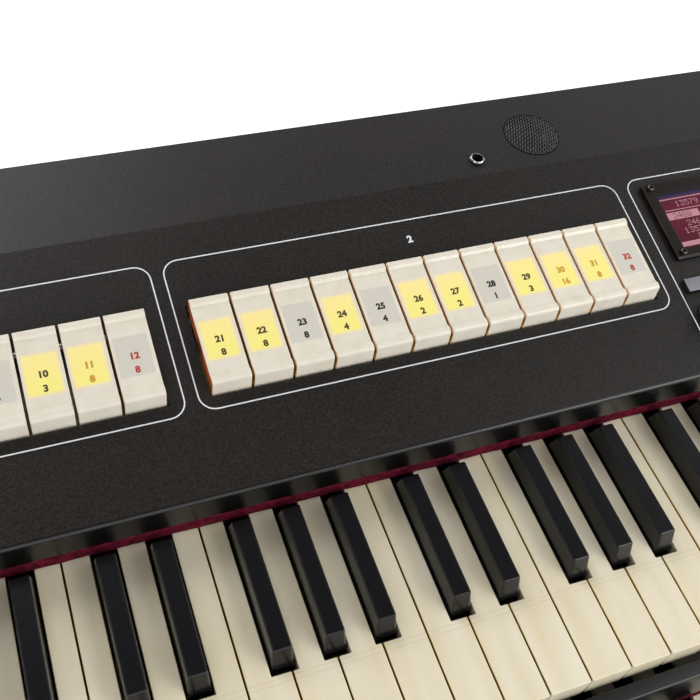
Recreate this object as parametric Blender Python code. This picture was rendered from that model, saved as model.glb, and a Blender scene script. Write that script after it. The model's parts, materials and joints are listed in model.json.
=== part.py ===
"""Two-manual electronic organ console, modelled in metres with +Z up and -Y towards the player.

The origin is on the table under the middle of the console. Each manual has its own frame: X is 0 at
the middle of the keyboard, Y is 0 at the felt above the keys, Z is 0 at the top of the naturals.
The sloped tab panel has a frame too: x along the nosing, s up the slope from the nosing, h out of it.
"""
from dataclasses import dataclass
from math import cos, pi, radians, sin, tan

import bmesh
import bpy
from mathutils import Matrix, Vector

# Fits
FIT = 0.0003
RUNNING_GAP = 0.001

# Smoothness of round pieces
BORE_SEGMENTS = 12
KNOB_SEGMENTS = 20
GRILLE_SEGMENTS = 24
HEXAGON = 6
SHARP_EDGE = radians(40)

# Keys, from the standard octave of 165 mm
OCTAVE_WIDTH = 0.165
NATURALS_PER_OCTAVE = 7
NATURALS_TO_E = 3
OCTAVES = 5
NATURAL_PITCH = OCTAVE_WIDTH / NATURALS_PER_OCTAVE
NATURAL_COUNT = OCTAVES * NATURALS_PER_OCTAVE + 1
NATURAL_GAP = 0.0008
NATURAL_LENGTH = 0.1365
NATURAL_HEAD_LENGTH = 0.050
NATURAL_THICKNESS = 0.008
NATURAL_LIP_HEIGHT = 0.017
NATURAL_LIP_THICKNESS = 0.004
SHARP_SLOT = 0.014
SHARP_BASE_WIDTH = 0.0118
SHARP_TOP_WIDTH = 0.0096
SHARP_HEIGHT = 0.0125
SHARP_FRONT_GAP = 0.0029
SHARP_FRONT_RUN = 0.0044
SHARP_BACK_SET = 0.0044
SHARP_BACK_RUN = 0.0032
SHARP_ARM_DROP = 0.001

# Key combs: their arms run back under the panel to a bar on two pins
ARM_LENGTH = 0.066
COLUMN_LENGTH = 0.008
BAR_CLEARANCE = 0.004
BAR_LENGTH = 0.014
BAR_PITCH = 0.017
BAR_LEVEL_STEP = 0.0095
LOW_ARM_THICKNESS = 0.007
PIN_RADIUS = 0.0025
PIN_LENGTH = 0.006
END_BLOCK_WIDTH = 0.007
END_BLOCK_WALL = 0.0038
PIVOT_FROM_BACK = 0.0055

# Keybeds
KEYBED_DROP = 0.030
KEYBED_THICKNESS = 0.0147
KEYBED_FRONT_SET = 0.0085
KEYBED_BACK_EXTRA = 0.006
MANUAL_STEP_HEIGHT = 0.062

# Rails, felt and thumb pistons
KEY_FRONT_GAP = 0.0045
RAIL_THICKNESS = 0.008
SLIP_THICKNESS = 0.014
RAIL_TOP_DROP = 0.011
FELT_BOTTOM = 0.0019
FELT_TOP = 0.0107
FELT_DEPTH = 0.009
PISTON_DROP = 0.035
PISTON_RADIUS = 0.0055
PISTON_PROUD = 0.0045
PISTON_COUNT = 8
PISTON_PITCH = 0.030
PISTON_CARRIER_THICKNESS = 0.0035
PISTON_CARRIER_HEIGHT = 0.012

# Tab panel and deck
PANEL_SLOPE = radians(10.58)
DECK_SLOPE = radians(3.0)
PANEL_LENGTH = 0.1631
DECK_LENGTH = 0.063
SHEET = 0.002
NOSING_SET = 0.001
NOSING_TOP = 0.029
NOSING_DEPTH = 0.013
NOSING_EDGE_RADIUS = 0.002
SHEET_START = 0.0025

# Tabs, in the panel's frame
TAB_PITCH = 0.02325
TAB_GAP = 0.0016
TAB_FRONT = 0.0554
TAB_LENGTH = 0.0541
TAB_HEIGHT = 0.009
TAB_KNEE_RUN = 0.0026
TAB_RIDGE_RADIUS = 0.0024
TAB_RIDGE_LENGTH = 0.0035
TAB_DISH = 0.0014
TAB_DISH_RUN = 0.0022
TAB_LIP_LENGTH = 0.0035
TAB_LIP_RUN = 0.0015
TAB_LIP_RADIUS = 0.0012
TAB_WALL = 0.0016
TAB_SKIRT = 0.003
TAB_TOP_THICKNESS = 0.0035
TAB_PIVOT_FROM_BACK = 0.006
TAB_PIVOT_DEPTH = 0.006
TAB_LUG_RADIUS = 0.0045
ROD_RADIUS = 0.002
ROD_CLEARANCE = 0.0002
SNAP_MOUTH = radians(60)
SNAP_STEPS = 8
TAB_LEFT_MARGIN = 0.00685
TAB_RIGHT_MARGIN = 0.00825
MANUAL_TABS = 12
PEDAL_TABS = 6
SINGLE_TABS_I = 3
GROUP_II_LEFT = -0.0098
GROUP_SPACING = 0.0075
DISPLAY_SPACING = 0.0092
CHASSIS_DEPTH = 0.017
CHASSIS_MARGIN = 0.007
CHASSIS_LIP = 0.008

# Display and its controls, in the panel's frame
BEZEL_WIDTH = 0.089
BEZEL_HEIGHT = 0.0566
BEZEL_THICKNESS = 0.003
BEZEL_FRONT = 0.0766
BEZEL_MARGIN = 0.0082
WINDOW_WIDTH = 0.0745
WINDOW_HEIGHT = 0.0408
WINDOW_FRONT_MARGIN = 0.0068
GLASS_SET = 0.0006
MODULE_DEPTH = 0.009
MODULE_FLANGE = 0.005
SCREW_SIDE_INSET = 0.005
SCREW_END_INSET = 0.0038
SCREW_HEAD_RADIUS = 0.0023
SCREW_HEAD_HEIGHT = 0.0022
SCREW_SHANK_RADIUS = 0.0014
SCREW_LENGTH = 0.009
SCREW_HEX_RADIUS = 0.0012
SCREW_HEX_DEPTH = 0.0013
BUTTON_WIDTH = 0.017
BUTTON_LENGTH = 0.009
BUTTON_PITCH = 0.0216
BUTTON_COUNT = 8
BUTTON_FRONT = 0.0534
BUTTON_HEIGHT = 0.003
BUTTON_MARGIN = 0.0043
BUTTON_CARRIER_THICKNESS = 0.0036
BUTTON_CARRIER_MARGIN = 0.0025
KNOB_PLACE = 0.0353
KNOB_MARGIN = 0.0147
KNOB_SKIRT_RADIUS = 0.011
KNOB_SKIRT_HEIGHT = 0.0022
KNOB_RADIUS = 0.009
KNOB_HEIGHT = 0.014
KNOB_SHAFT_RADIUS = 0.003
KNOB_SHAFT_LENGTH = 0.010
DISPLAY_BOX_RIGHT_MARGIN = 0.012

# Deck fittings, in the deck's frame
GRILLE_FROM_BACK = 0.0358
GRILLE_PLACE = DECK_LENGTH - GRILLE_FROM_BACK
GRILLE_X = 0.2485
GRILLE_RADIUS = 0.0186
GRILLE_DOME = 0.003
GRILLE_SHELL = 0.001
GRILLE_STEPS = 3
TWEETER_FLANGE_RADIUS = 0.020
TWEETER_FLANGE = 0.003
TWEETER_MAGNET_RADIUS = 0.015
TWEETER_MAGNET = 0.014
SOCKET_PLACE = 0.0127
SOCKET_X = 0.2021
SOCKET_RING_RADIUS = 0.0049
SOCKET_RING_HEIGHT = 0.0022
SOCKET_BARREL_RADIUS = 0.0041
SOCKET_BARREL_LENGTH = 0.014
SOCKET_BORE_RADIUS = 0.0033

# Case
CHEEK_LEAST_WIDTH = 0.030
SIDE_THICKNESS = 0.018
SIDE_PROUD = 0.0015
BASE_THICKNESS = 0.015
FOOT_HEIGHT = 0.012
FOOT_WIDTH = 0.030
FOOT_INSET = 0.030
FRONT_COVER = 0.006
CHEEK_TOP = 0.013
SIDE_ABOVE_CHEEK = 0.003
CASE_EDGE_RADIUS = 0.006
REAR_THICKNESS = 0.012
REAR_SET = 0.002

# Electrics, on the base board and the rear panel
INLET_X = -0.330
INLET_HEIGHT = 0.040
INLET_WIDTH = 0.060
INLET_TALL = 0.028
INLET_BODY_DEPTH = 0.024
FLANGE_THICKNESS = 0.0015
FLANGE_MARGIN = 0.003
RECESS_WIDTH = 0.0245
RECESS_TALL = 0.0168
RECESS_DEPTH = 0.016
INLET_PIN_PITCH = 0.007
INLET_PIN_RISE = 0.002
INLET_PIN_WIDTH = 0.002
INLET_PIN_TALL = 0.004
ROCKER_WIDTH = 0.020
ROCKER_TALL = 0.012
ROCKER_DEPTH = 0.007
ROCKER_ANGLE = radians(8)
ROCKER_CLEARANCE = 0.0016
ROCKER_TAPER = 0.0012
ROCKER_PIN_RADIUS = 0.00125
JACK_X = 0.120
JACK_HEIGHT = 0.040
JACK_PITCH = 0.022
JACK_COUNT = 4
JACK_BLOCK_TALL = 0.018
JACK_BLOCK_DEPTH = 0.026
JACK_BORE_RADIUS = 0.0033
JACK_BORE_DEPTH = 0.018
BOARD_WIDTH = 0.260
BOARD_LENGTH = 0.062
BOARD_THICKNESS = 0.0016
STANDOFF = 0.006
STANDOFF_SIZE = 0.008
# Each part on the main board: left, front, width, length and height from the board's corner
BOARD_PARTS = (
    (0.030, 0.020, 0.030, 0.030, 0.004),
    (0.080, 0.025, 0.022, 0.022, 0.003),
    (0.190, 0.030, 0.040, 0.025, 0.022),
    (0.130, 0.015, 0.050, 0.008, 0.010),
)
SUPPLY_WIDTH = 0.150
SUPPLY_RAIL_GAP = 0.0064
SUPPLY_TALL = 0.036
SUPPLY_BACK_GAP = 0.002

# Places that follow from the sizes above
KEYBOARD_HALF = NATURAL_COUNT * NATURAL_PITCH / 2
HEAD_BACK = -(NATURAL_LENGTH - NATURAL_HEAD_LENGTH)
TAB_MARGINS = TAB_LEFT_MARGIN + TAB_RIGHT_MARGIN
GROUP_WIDTH = MANUAL_TABS * TAB_PITCH + TAB_MARGINS
PEDAL_WIDTH = PEDAL_TABS * TAB_PITCH + TAB_MARGINS
GROUP_I_LEFT = GROUP_II_LEFT - GROUP_SPACING - GROUP_WIDTH
PEDAL_LEFT = GROUP_I_LEFT - GROUP_SPACING - PEDAL_WIDTH
DISPLAY_BOX_LEFT = GROUP_II_LEFT + GROUP_WIDTH + DISPLAY_SPACING
BUTTON_ROW = (BUTTON_COUNT - 1) * BUTTON_PITCH + BUTTON_WIDTH
PANEL_HALF = max(
    DISPLAY_BOX_RIGHT_MARGIN - PEDAL_LEFT,
    DISPLAY_BOX_LEFT + BUTTON_MARGIN + BUTTON_ROW + 2 * DISPLAY_BOX_RIGHT_MARGIN,
    KEYBOARD_HALF + CHEEK_LEAST_WIDTH,
)
CASE_HALF = PANEL_HALF + SIDE_THICKNESS
MANUAL_STEP_LENGTH = NATURAL_LENGTH + KEY_FRONT_GAP + RAIL_THICKNESS - NOSING_SET
SLIP_BACK = -NATURAL_LENGTH - KEY_FRONT_GAP
PANEL_RUN = PANEL_LENGTH * cos(PANEL_SLOPE)
FRONT_REACH = MANUAL_STEP_LENGTH - SLIP_BACK + SLIP_THICKNESS + FRONT_COVER
REAR_REACH = PANEL_RUN - NOSING_SET + DECK_LENGTH * cos(DECK_SLOPE) + SHEET * sin(DECK_SLOPE)
FELT_LINE = (FRONT_REACH - REAR_REACH) / 2
CASE_FRONT = FELT_LINE - FRONT_REACH
CASE_REAR = FELT_LINE + REAR_REACH
BASE_TOP = FOOT_HEIGHT + FIT + BASE_THICKNESS
LOWER_KEY_TOP = BASE_TOP + FIT + KEYBED_DROP + KEYBED_THICKNESS
UPPER_KEY_TOP = LOWER_KEY_TOP + MANUAL_STEP_HEIGHT
NOSING_FACE = FELT_LINE - NOSING_SET
NOSING_EDGE = UPPER_KEY_TOP + NOSING_TOP
CREASE_Y = NOSING_FACE + PANEL_RUN
CREASE_Z = NOSING_EDGE + PANEL_LENGTH * sin(PANEL_SLOPE)


@dataclass
class Manual:
    """One keyboard's place: the felt line and the top of its naturals."""

    tag: str
    felt_line: float
    key_top: float

    def place(self, y, z):
        """A point of the manual's frame, in the console's frame."""
        return self.felt_line + y, self.key_top + z


@dataclass
class TabRow:
    """A row of tabs inside one outlined box of the panel."""

    left: float
    count: int

    def tab_left(self, index):
        """The left side of a tab's pitch, counted from 0."""
        return self.left + TAB_LEFT_MARGIN + index * TAB_PITCH

    @property
    def right(self):
        """The right side of the last tab's pitch."""
        return self.tab_left(self.count)


@dataclass
class Comb:
    """A moulded set of keys that turn together on one bar."""

    name: str
    level: int
    letters: str

    @property
    def bar_front(self):
        """The bar's front face, in the manual's frame."""
        return ARM_LENGTH + BAR_CLEARANCE + self.level * BAR_PITCH

    @property
    def top(self):
        """The top of the bar, in the manual's frame."""
        return -self.level * BAR_LEVEL_STEP - (0 if self.level == 0 else RUNNING_GAP)

    @property
    def thickness(self):
        """The bar's and low arms' thickness."""
        return NATURAL_THICKNESS if self.level == 0 else LOW_ARM_THICKNESS

    @property
    def pivot(self):
        """The pivot line, in the manual's frame."""
        return self.bar_front + BAR_LENGTH - PIVOT_FROM_BACK, self.top - self.thickness / 2


UPPER = Manual("upper", FELT_LINE, UPPER_KEY_TOP)
LOWER = Manual("lower", FELT_LINE - MANUAL_STEP_LENGTH, LOWER_KEY_TOP)
ROW_II = TabRow(GROUP_II_LEFT, MANUAL_TABS)
ROW_I = TabRow(GROUP_I_LEFT, MANUAL_TABS)
ROW_PEDAL = TabRow(PEDAL_LEFT, PEDAL_TABS)
COMBS = (
    Comb("natural_keys_ceg", 0, "CEGB"),
    Comb("natural_keys_dfa", 1, "DFA"),
    Comb("sharp_keys", 2, ""),
)
TAB_PIVOT = (TAB_FRONT + TAB_LENGTH - TAB_PIVOT_FROM_BACK, -TAB_PIVOT_DEPTH)


def clear_scene():
    """Removes every object of the scene."""
    for item in list(bpy.data.objects):
        bpy.data.objects.remove(item, do_unlink=True)


def material(name, colour, roughness, metallic=0.0):
    """A Principled material with an sRGB hex colour."""
    made = bpy.data.materials.new(name)
    made.use_nodes = True
    shader = made.node_tree.nodes["Principled BSDF"]
    channels = [int(colour[i : i + 2], 16) / 255 for i in (1, 3, 5)]
    linear = [c / 12.92 if c <= 0.04045 else ((c + 0.055) / 1.055) ** 2.4 for c in channels]
    shader.inputs["Base Color"].default_value = (*linear, 1.0)
    shader.inputs["Roughness"].default_value = roughness
    shader.inputs["Metallic"].default_value = metallic
    made.diffuse_color = (*linear, 1.0)
    return made


def add_prism(mesh, outline, low, high):
    """Adds a solid with a (y, z) outline that runs along X from low to high."""
    near = mesh.faces.new([mesh.verts.new((low, y, z)) for y, z in outline])
    grown = bmesh.ops.extrude_face_region(mesh, geom=[near])
    far = [item for item in grown["geom"] if isinstance(item, bmesh.types.BMVert)]
    bmesh.ops.translate(mesh, verts=far, vec=(high - low, 0, 0))


def add_box(mesh, low, high):
    """Adds a box between two corners."""
    corners = ((low[1], low[2]), (high[1], low[2]), (high[1], high[2]), (low[1], high[2]))
    add_prism(mesh, corners, low[0], high[0])


def add_turned(mesh, profile, segments, frame=Matrix.Identity(4)):
    """Adds a solid turned about its own Z from (radius, height) points; a radius of 0 closes an end."""
    rings = []
    for radius, height in profile:
        if radius == 0:
            rings.append([mesh.verts.new(frame @ Vector((0, 0, height)))])
            continue
        angles = [2 * pi * step / segments for step in range(segments)]
        points = [Vector((radius * cos(a), radius * sin(a), height)) for a in angles]
        rings.append([mesh.verts.new(frame @ point) for point in points])
    closed = profile[0][0] > 0
    pairs = list(zip(rings, rings[1:] + rings[:1] if closed else rings[1:]))
    for ring, following in pairs:
        for step in range(segments):
            after = (step + 1) % segments
            corners = [ring[step % len(ring)], ring[after % len(ring)]]
            corners += [following[after % len(following)], following[step % len(following)]]
            mesh.faces.new(list(dict.fromkeys(corners)))


def along_x(x, y, z):
    """The frame of a turned piece whose axis runs along +X from a point."""
    return Matrix.Translation((x, y, z)) @ Matrix.Rotation(pi / 2, 4, "Y")


def along_y(x, y, z):
    """The frame of a turned piece whose axis runs along +Y from a point."""
    return Matrix.Translation((x, y, z)) @ Matrix.Rotation(-pi / 2, 4, "X")


def upright(x, y, z):
    """The frame of a turned piece whose axis runs along +Z from a point."""
    return Matrix.Translation((x, y, z))


def rod(radius, length):
    """The profile of a plain rod."""
    return ((0, 0), (radius, 0), (radius, length), (0, length))


def rounded(corners, steps=3):
    """An outline whose (y, z, radius) corners are rounded with arcs."""
    outline = []
    count = len(corners)
    for index, (y, z, radius) in enumerate(corners):
        here = Vector((y, z))
        if radius == 0:
            outline.append((y, z))
            continue
        back = (Vector(corners[index - 1][:2]) - here).normalized()
        ahead = (Vector(corners[(index + 1) % count][:2]) - here).normalized()
        half = back.angle(ahead) / 2
        centre = here + (back + ahead).normalized() * radius / sin(half)
        start = here + back * radius / tan(half) - centre
        end = here + ahead * radius / tan(half) - centre
        turn = start.angle_signed(end)
        for step in range(steps + 1):
            angle = -turn * step / steps
            point = centre + Matrix.Rotation(angle, 2) @ start
            outline.append((point.x, point.y))
    return outline


def make(name, mesh, finish, parent=None, location=(0, 0, 0), smooth=False):
    """Closes a bmesh into an object with one material."""
    bmesh.ops.recalc_face_normals(mesh, faces=mesh.faces)
    data = bpy.data.meshes.new(name)
    mesh.to_mesh(data)
    mesh.free()
    if smooth:
        data.shade_smooth()
        data.set_sharp_from_angle(angle=SHARP_EDGE)
    made = bpy.data.objects.new(name, data)
    made.parent = parent
    made.location = location
    if finish is not None:
        data.materials.append(finish)
    bpy.context.collection.objects.link(made)
    return made


def combine(target, operand, operation):
    """Cuts or joins with a second object, which is then only a guide."""
    change = target.modifiers.new(operand.name, "BOOLEAN")
    change.operation = operation
    change.solver = "EXACT"
    change.object = operand
    operand.hide_render = True
    operand.display_type = "WIRE"


def cut(target, name, mesh, parent=None, location=(0, 0, 0)):
    """Cuts the shapes of a bmesh out of an object."""
    combine(target, make(name, mesh, None, parent, location), "DIFFERENCE")


def join(target, name, mesh, parent=None, location=(0, 0, 0)):
    """Joins the shapes of a bmesh to an object."""
    combine(target, make(name, mesh, None, parent, location), "UNION")


def frame_empty(name, location, slope):
    """An empty that carries pieces placed on a sloped plane."""
    made = bpy.data.objects.new(name, None)
    made.location = location
    made.rotation_euler = (slope, 0, 0)
    bpy.context.collection.objects.link(made)
    return made


def panel_point(s, h=0.0):
    """The console's (y, z) of a point on the tab panel."""
    y = NOSING_FACE + s * cos(PANEL_SLOPE) - h * sin(PANEL_SLOPE)
    return y, NOSING_EDGE + s * sin(PANEL_SLOPE) + h * cos(PANEL_SLOPE)


def deck_point(s, h=0.0):
    """The console's (y, z) of a point on the rear deck."""
    y = CREASE_Y + s * cos(DECK_SLOPE) - h * sin(DECK_SLOPE)
    return y, CREASE_Z + s * sin(DECK_SLOPE) + h * cos(DECK_SLOPE)


def crease_point(h):
    """The console's (y, z) of the bend between panel and deck, offset by h."""
    half_bend = (PANEL_SLOPE - DECK_SLOPE) / 2
    middle = (PANEL_SLOPE + DECK_SLOPE) / 2
    reach = h / cos(half_bend)
    return CREASE_Y - reach * sin(middle), CREASE_Z + reach * cos(middle)


def natural_necks():
    """Each natural's letter, its full span and the span of its neck between the sharps."""
    first = NATURALS_TO_E
    second = NATURALS_PER_OCTAVE - first
    narrow_neck = NATURAL_PITCH - (first - 1) / first * SHARP_SLOT
    wide_neck = NATURAL_PITCH - (second - 1) / second * SHARP_SLOT
    spans = []
    for index in range(NATURAL_COUNT):
        letter = index % NATURALS_PER_OCTAVE
        left = index * NATURAL_PITCH - KEYBOARD_HALF
        octave_left = left - letter * NATURAL_PITCH
        if letter < first:
            neck_left = octave_left + letter * (narrow_neck + SHARP_SLOT)
            neck_right = neck_left + narrow_neck
        else:
            group_left = octave_left + first * NATURAL_PITCH
            neck_left = group_left + (letter - first) * (wide_neck + SHARP_SLOT)
            neck_right = neck_left + wide_neck
        if index == NATURAL_COUNT - 1:
            neck_right = left + NATURAL_PITCH
        inset = NATURAL_GAP / 2
        head = (left + inset, left + NATURAL_PITCH - inset)
        neck = (max(neck_left, head[0]), min(neck_right, head[1]))
        spans.append(("CDEFGAB"[letter], head, neck))
    return spans


def sharp_centres():
    """The middle of each sharp's slot, between the necks beside it."""
    necks = natural_necks()
    pairs = zip(necks, necks[1:])
    return [(left[2][1] + right[2][0]) / 2 for left, right in pairs if left[0] in "CDFGA"]


def finger_outline(comb, manual, front, top):
    """A key's side outline from its front to its bar, without the head."""
    underside = -NATURAL_THICKNESS
    back = comb.bar_front + RUNNING_GAP
    if comb.level == 0:
        corners = ((front, underside), (back, underside), (back, top), (front, top))
    else:
        low = comb.top - comb.thickness
        column = ARM_LENGTH - COLUMN_LENGTH
        corners = (
            (front, underside),
            (column, underside),
            (column, low),
            (back, low),
            (back, comb.top),
            (ARM_LENGTH, comb.top),
            (ARM_LENGTH, top),
            (front, top),
        )
    return [manual.place(y, z) for y, z in corners]


def add_sharp_cap(mesh, manual, middle):
    """Adds a sharp's raised cap, bevelled on all four sides."""
    sink = SHARP_ARM_DROP + RUNNING_GAP
    front = HEAD_BACK + SHARP_FRONT_GAP
    base_half = SHARP_BASE_WIDTH / 2
    top_half = SHARP_TOP_WIDTH / 2
    levels = (
        (-sink, front, -SHARP_BACK_SET, base_half),
        (0.0, front, -SHARP_BACK_SET, base_half),
        (SHARP_HEIGHT, front + SHARP_FRONT_RUN, -SHARP_BACK_SET - SHARP_BACK_RUN, top_half),
    )
    rings = []
    for z, near, far, half in levels:
        corners = ((-half, near), (half, near), (half, far), (-half, far))
        rings.append([mesh.verts.new((middle + x, *manual.place(y, z))) for x, y in corners])
    mesh.faces.new(rings[0])
    mesh.faces.new(rings[-1])
    for ring, following in zip(rings, rings[1:]):
        for step in range(4):
            after = (step + 1) % 4
            mesh.faces.new((ring[step], ring[after], following[after], following[step]))


def bar_half():
    """Half the length of a comb's bar, between the keybed's end blocks."""
    return KEYBOARD_HALF - NATURAL_GAP / 2 - END_BLOCK_WIDTH - FIT


def add_bar(mesh, comb, manual):
    """Adds a comb's bar and the pins at its two ends."""
    half = bar_half()
    near, low = manual.place(comb.bar_front, comb.top - comb.thickness)
    far, high = manual.place(comb.bar_front + BAR_LENGTH, comb.top)
    add_box(mesh, (-half, near, low), (half, far, high))


def add_pins(mesh, comb, manual):
    """Adds the pins that a comb turns on, sunk a little into its bar."""
    y, z = manual.place(*comb.pivot)
    profile = rod(PIN_RADIUS, PIN_LENGTH + RUNNING_GAP)
    for start in (bar_half() - RUNNING_GAP, -bar_half() - PIN_LENGTH):
        add_turned(mesh, profile, BORE_SEGMENTS, along_x(start, y, z))


def key_comb(comb, manual, finish):
    """One comb of keys, with its origin on its pivot line."""
    pivot = (0, *manual.place(*comb.pivot))
    local = Manual(manual.tag, manual.felt_line - pivot[1], manual.key_top - pivot[2])
    name = f"{comb.name}_{manual.tag}"
    bar = bmesh.new()
    add_bar(bar, comb, local)
    made = make(name, bar, finish, location=pivot)
    pins = bmesh.new()
    add_pins(pins, comb, local)
    join(made, name + "_pins", pins, location=pivot)
    fingers = bmesh.new()
    heads = bmesh.new()
    if comb.letters:
        overlap = HEAD_BACK - 2 * RUNNING_GAP
        outline = finger_outline(comb, local, overlap, 0.0)
        lip = -NATURAL_LENGTH + NATURAL_LIP_THICKNESS
        head_outline = [
            local.place(y, z)
            for y, z in (
                (-NATURAL_LENGTH, -NATURAL_LIP_HEIGHT),
                (lip, -NATURAL_LIP_HEIGHT),
                (lip, -NATURAL_THICKNESS),
                (HEAD_BACK, -NATURAL_THICKNESS),
                (HEAD_BACK, 0),
                (-NATURAL_LENGTH, 0),
            )
        ]
        for letter, head, neck in natural_necks():
            if letter in comb.letters:
                add_prism(fingers, outline, *neck)
                add_prism(heads, head_outline, *head)
    else:
        front = HEAD_BACK + SHARP_FRONT_GAP
        outline = finger_outline(comb, local, front, -SHARP_ARM_DROP)
        for middle in sharp_centres():
            add_prism(fingers, outline, middle - SHARP_BASE_WIDTH / 2, middle + SHARP_BASE_WIDTH / 2)
            add_sharp_cap(heads, local, middle)
    join(made, name + "_fingers", fingers, location=pivot)
    join(made, name + "_heads", heads, location=pivot)
    return made


def keybed(manual, finish):
    """A keybed: the board under the keys and the end blocks with the pivot bores."""
    half = KEYBOARD_HALF - NATURAL_GAP / 2
    last = COMBS[-1]
    back = last.bar_front + BAR_LENGTH + KEYBED_BACK_EXTRA
    front = -NATURAL_LENGTH + KEYBED_FRONT_SET
    near, low = manual.place(front, -KEYBED_DROP - KEYBED_THICKNESS)
    far, high = manual.place(back, -KEYBED_DROP)
    board = bmesh.new()
    add_box(board, (-half, near, low), (half, far, high))
    name = f"keybed_{manual.tag}"
    made = make(name, board, finish)
    wall = END_BLOCK_WALL + PIN_RADIUS
    first_pivot, first_height = COMBS[0].pivot
    block_near, block_low = manual.place(first_pivot - wall, -KEYBED_DROP - RUNNING_GAP)
    _, block_high = manual.place(0, first_height + wall)
    blocks = bmesh.new()
    for left in (-half, half - END_BLOCK_WIDTH):
        add_box(blocks, (left, block_near, block_low), (left + END_BLOCK_WIDTH, far, block_high))
    join(made, name + "_blocks", blocks)
    bores = bmesh.new()
    for comb in COMBS:
        y, z = manual.place(*comb.pivot)
        profile = rod((PIN_RADIUS + FIT) / cos(pi / BORE_SEGMENTS), END_BLOCK_WIDTH + 2 * RUNNING_GAP)
        for start in (-half - RUNNING_GAP, half - END_BLOCK_WIDTH - RUNNING_GAP):
            add_turned(bores, profile, BORE_SEGMENTS, along_x(start, y, z))
    cut(made, name + "_bores", bores)
    return made


def piston_places():
    """The X of each thumb piston."""
    first = -(PISTON_COUNT - 1) * PISTON_PITCH / 2
    return [first + index * PISTON_PITCH for index in range(PISTON_COUNT)]


def bored_rail(name, manual, half, thickness, bottom, finish):
    """A rail in front of a manual's keys, bored for its thumb pistons."""
    back, low = manual.place(SLIP_BACK, bottom)
    _, high = manual.place(SLIP_BACK, -RAIL_TOP_DROP)
    front = back - thickness
    edge = RUNNING_GAP
    outline = rounded(((front, low, 0), (back, low, 0), (back, high, 0), (front, high, edge)), 2)
    body = bmesh.new()
    add_prism(body, outline, -half, half)
    made = make(name, body, finish)
    bores = bmesh.new()
    _, height = manual.place(0, -PISTON_DROP)
    profile = rod((PISTON_RADIUS + FIT) / cos(pi / BORE_SEGMENTS), thickness + 2 * RUNNING_GAP)
    for x in piston_places():
        add_turned(bores, profile, BORE_SEGMENTS, along_y(x, front - RUNNING_GAP, height))
    cut(made, name + "_bores", bores)
    return made


def thumb_pistons(manual, thickness, finish):
    """The thumb pistons of one manual on their carrier behind the rail."""
    back, height = manual.place(SLIP_BACK, -PISTON_DROP)
    near = back + FIT
    far = near + PISTON_CARRIER_THICKNESS
    reach = (PISTON_COUNT - 1) * PISTON_PITCH / 2 + 2 * PISTON_RADIUS
    carrier = bmesh.new()
    half_tall = PISTON_CARRIER_HEIGHT / 2
    add_box(carrier, (-reach, near, height - half_tall), (reach, far, height + half_tall))
    name = f"thumb_pistons_{manual.tag}"
    made = make(name, carrier, finish)
    caps = bmesh.new()
    length = PISTON_PROUD + thickness + FIT + RUNNING_GAP
    profile = rod(PISTON_RADIUS, length)
    for x in piston_places():
        add_turned(caps, profile, BORE_SEGMENTS, along_y(x, back - thickness - PISTON_PROUD, height))
    join(made, name + "_caps", caps)
    return made


def felt_strip(manual, finish):
    """The felt that hangs above a manual's keys."""
    near, low = manual.place(-NOSING_SET, FELT_BOTTOM)
    far, high = manual.place(-NOSING_SET + FELT_DEPTH, FELT_TOP - FIT)
    body = bmesh.new()
    add_box(body, (-KEYBOARD_HALF, near, low), (KEYBOARD_HALF, far, high))
    return make(f"felt_strip_{manual.tag}", body, finish)


def panel_nosing(finish):
    """The gloss strip along the panel's front edge, stepped down behind to carry the sheet."""
    front = NOSING_FACE
    bottom = UPPER_KEY_TOP + FELT_TOP
    back = front + NOSING_DEPTH
    seat = -SHEET - FIT
    step_top = panel_point(SHEET_START - FIT)
    step_bottom = panel_point(SHEET_START - FIT, seat)
    reach = (back - front) / cos(PANEL_SLOPE)
    outline = rounded(
        (
            (front, bottom, 0),
            (back, bottom, 0),
            (*panel_point(reach + seat * tan(PANEL_SLOPE), seat), 0),
            (*step_bottom, 0),
            (*step_top, 0),
            (*panel_point(0), NOSING_EDGE_RADIUS),
        )
    )
    body = bmesh.new()
    add_prism(body, outline, -PANEL_HALF + FIT, PANEL_HALF - FIT)
    return make("panel_nosing", body, finish)


def add_panel_box(mesh, x_span, s_span, h_span):
    """Adds a box given in the tab panel's frame."""
    add_box(mesh, (x_span[0], s_span[0], h_span[0]), (x_span[1], s_span[1], h_span[1]))


def bezel_spans():
    """The display bezel's x and s spans in the panel's frame."""
    left = DISPLAY_BOX_LEFT + BEZEL_MARGIN
    return (left, left + BEZEL_WIDTH), (BEZEL_FRONT, BEZEL_FRONT + BEZEL_HEIGHT)


def window_spans():
    """The display window's x and s spans in the panel's frame."""
    (left, right), (front, _) = bezel_spans()
    middle = (left + right) / 2
    near = front + WINDOW_FRONT_MARGIN
    return (middle - WINDOW_WIDTH / 2, middle + WINDOW_WIDTH / 2), (near, near + WINDOW_HEIGHT)


def screw_places():
    """The bezel screws' places in the panel's frame."""
    (left, right), (front, back) = bezel_spans()
    near, far = front + SCREW_END_INSET, back - SCREW_END_INSET
    sides = (left + SCREW_SIDE_INSET, right - SCREW_SIDE_INSET)
    return [(x, s) for s in (near, far) for x in sides]


def button_lefts():
    """The left side of each menu button."""
    first = DISPLAY_BOX_LEFT + BUTTON_MARGIN
    return [first + index * BUTTON_PITCH for index in range(BUTTON_COUNT)]


def knob_place():
    """The volume knob's place in the panel's frame."""
    return DISPLAY_BOX_LEFT + KNOB_MARGIN, KNOB_PLACE


def grown(span, margin):
    """A span with a margin at both ends."""
    return span[0] - margin, span[1] + margin


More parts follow.
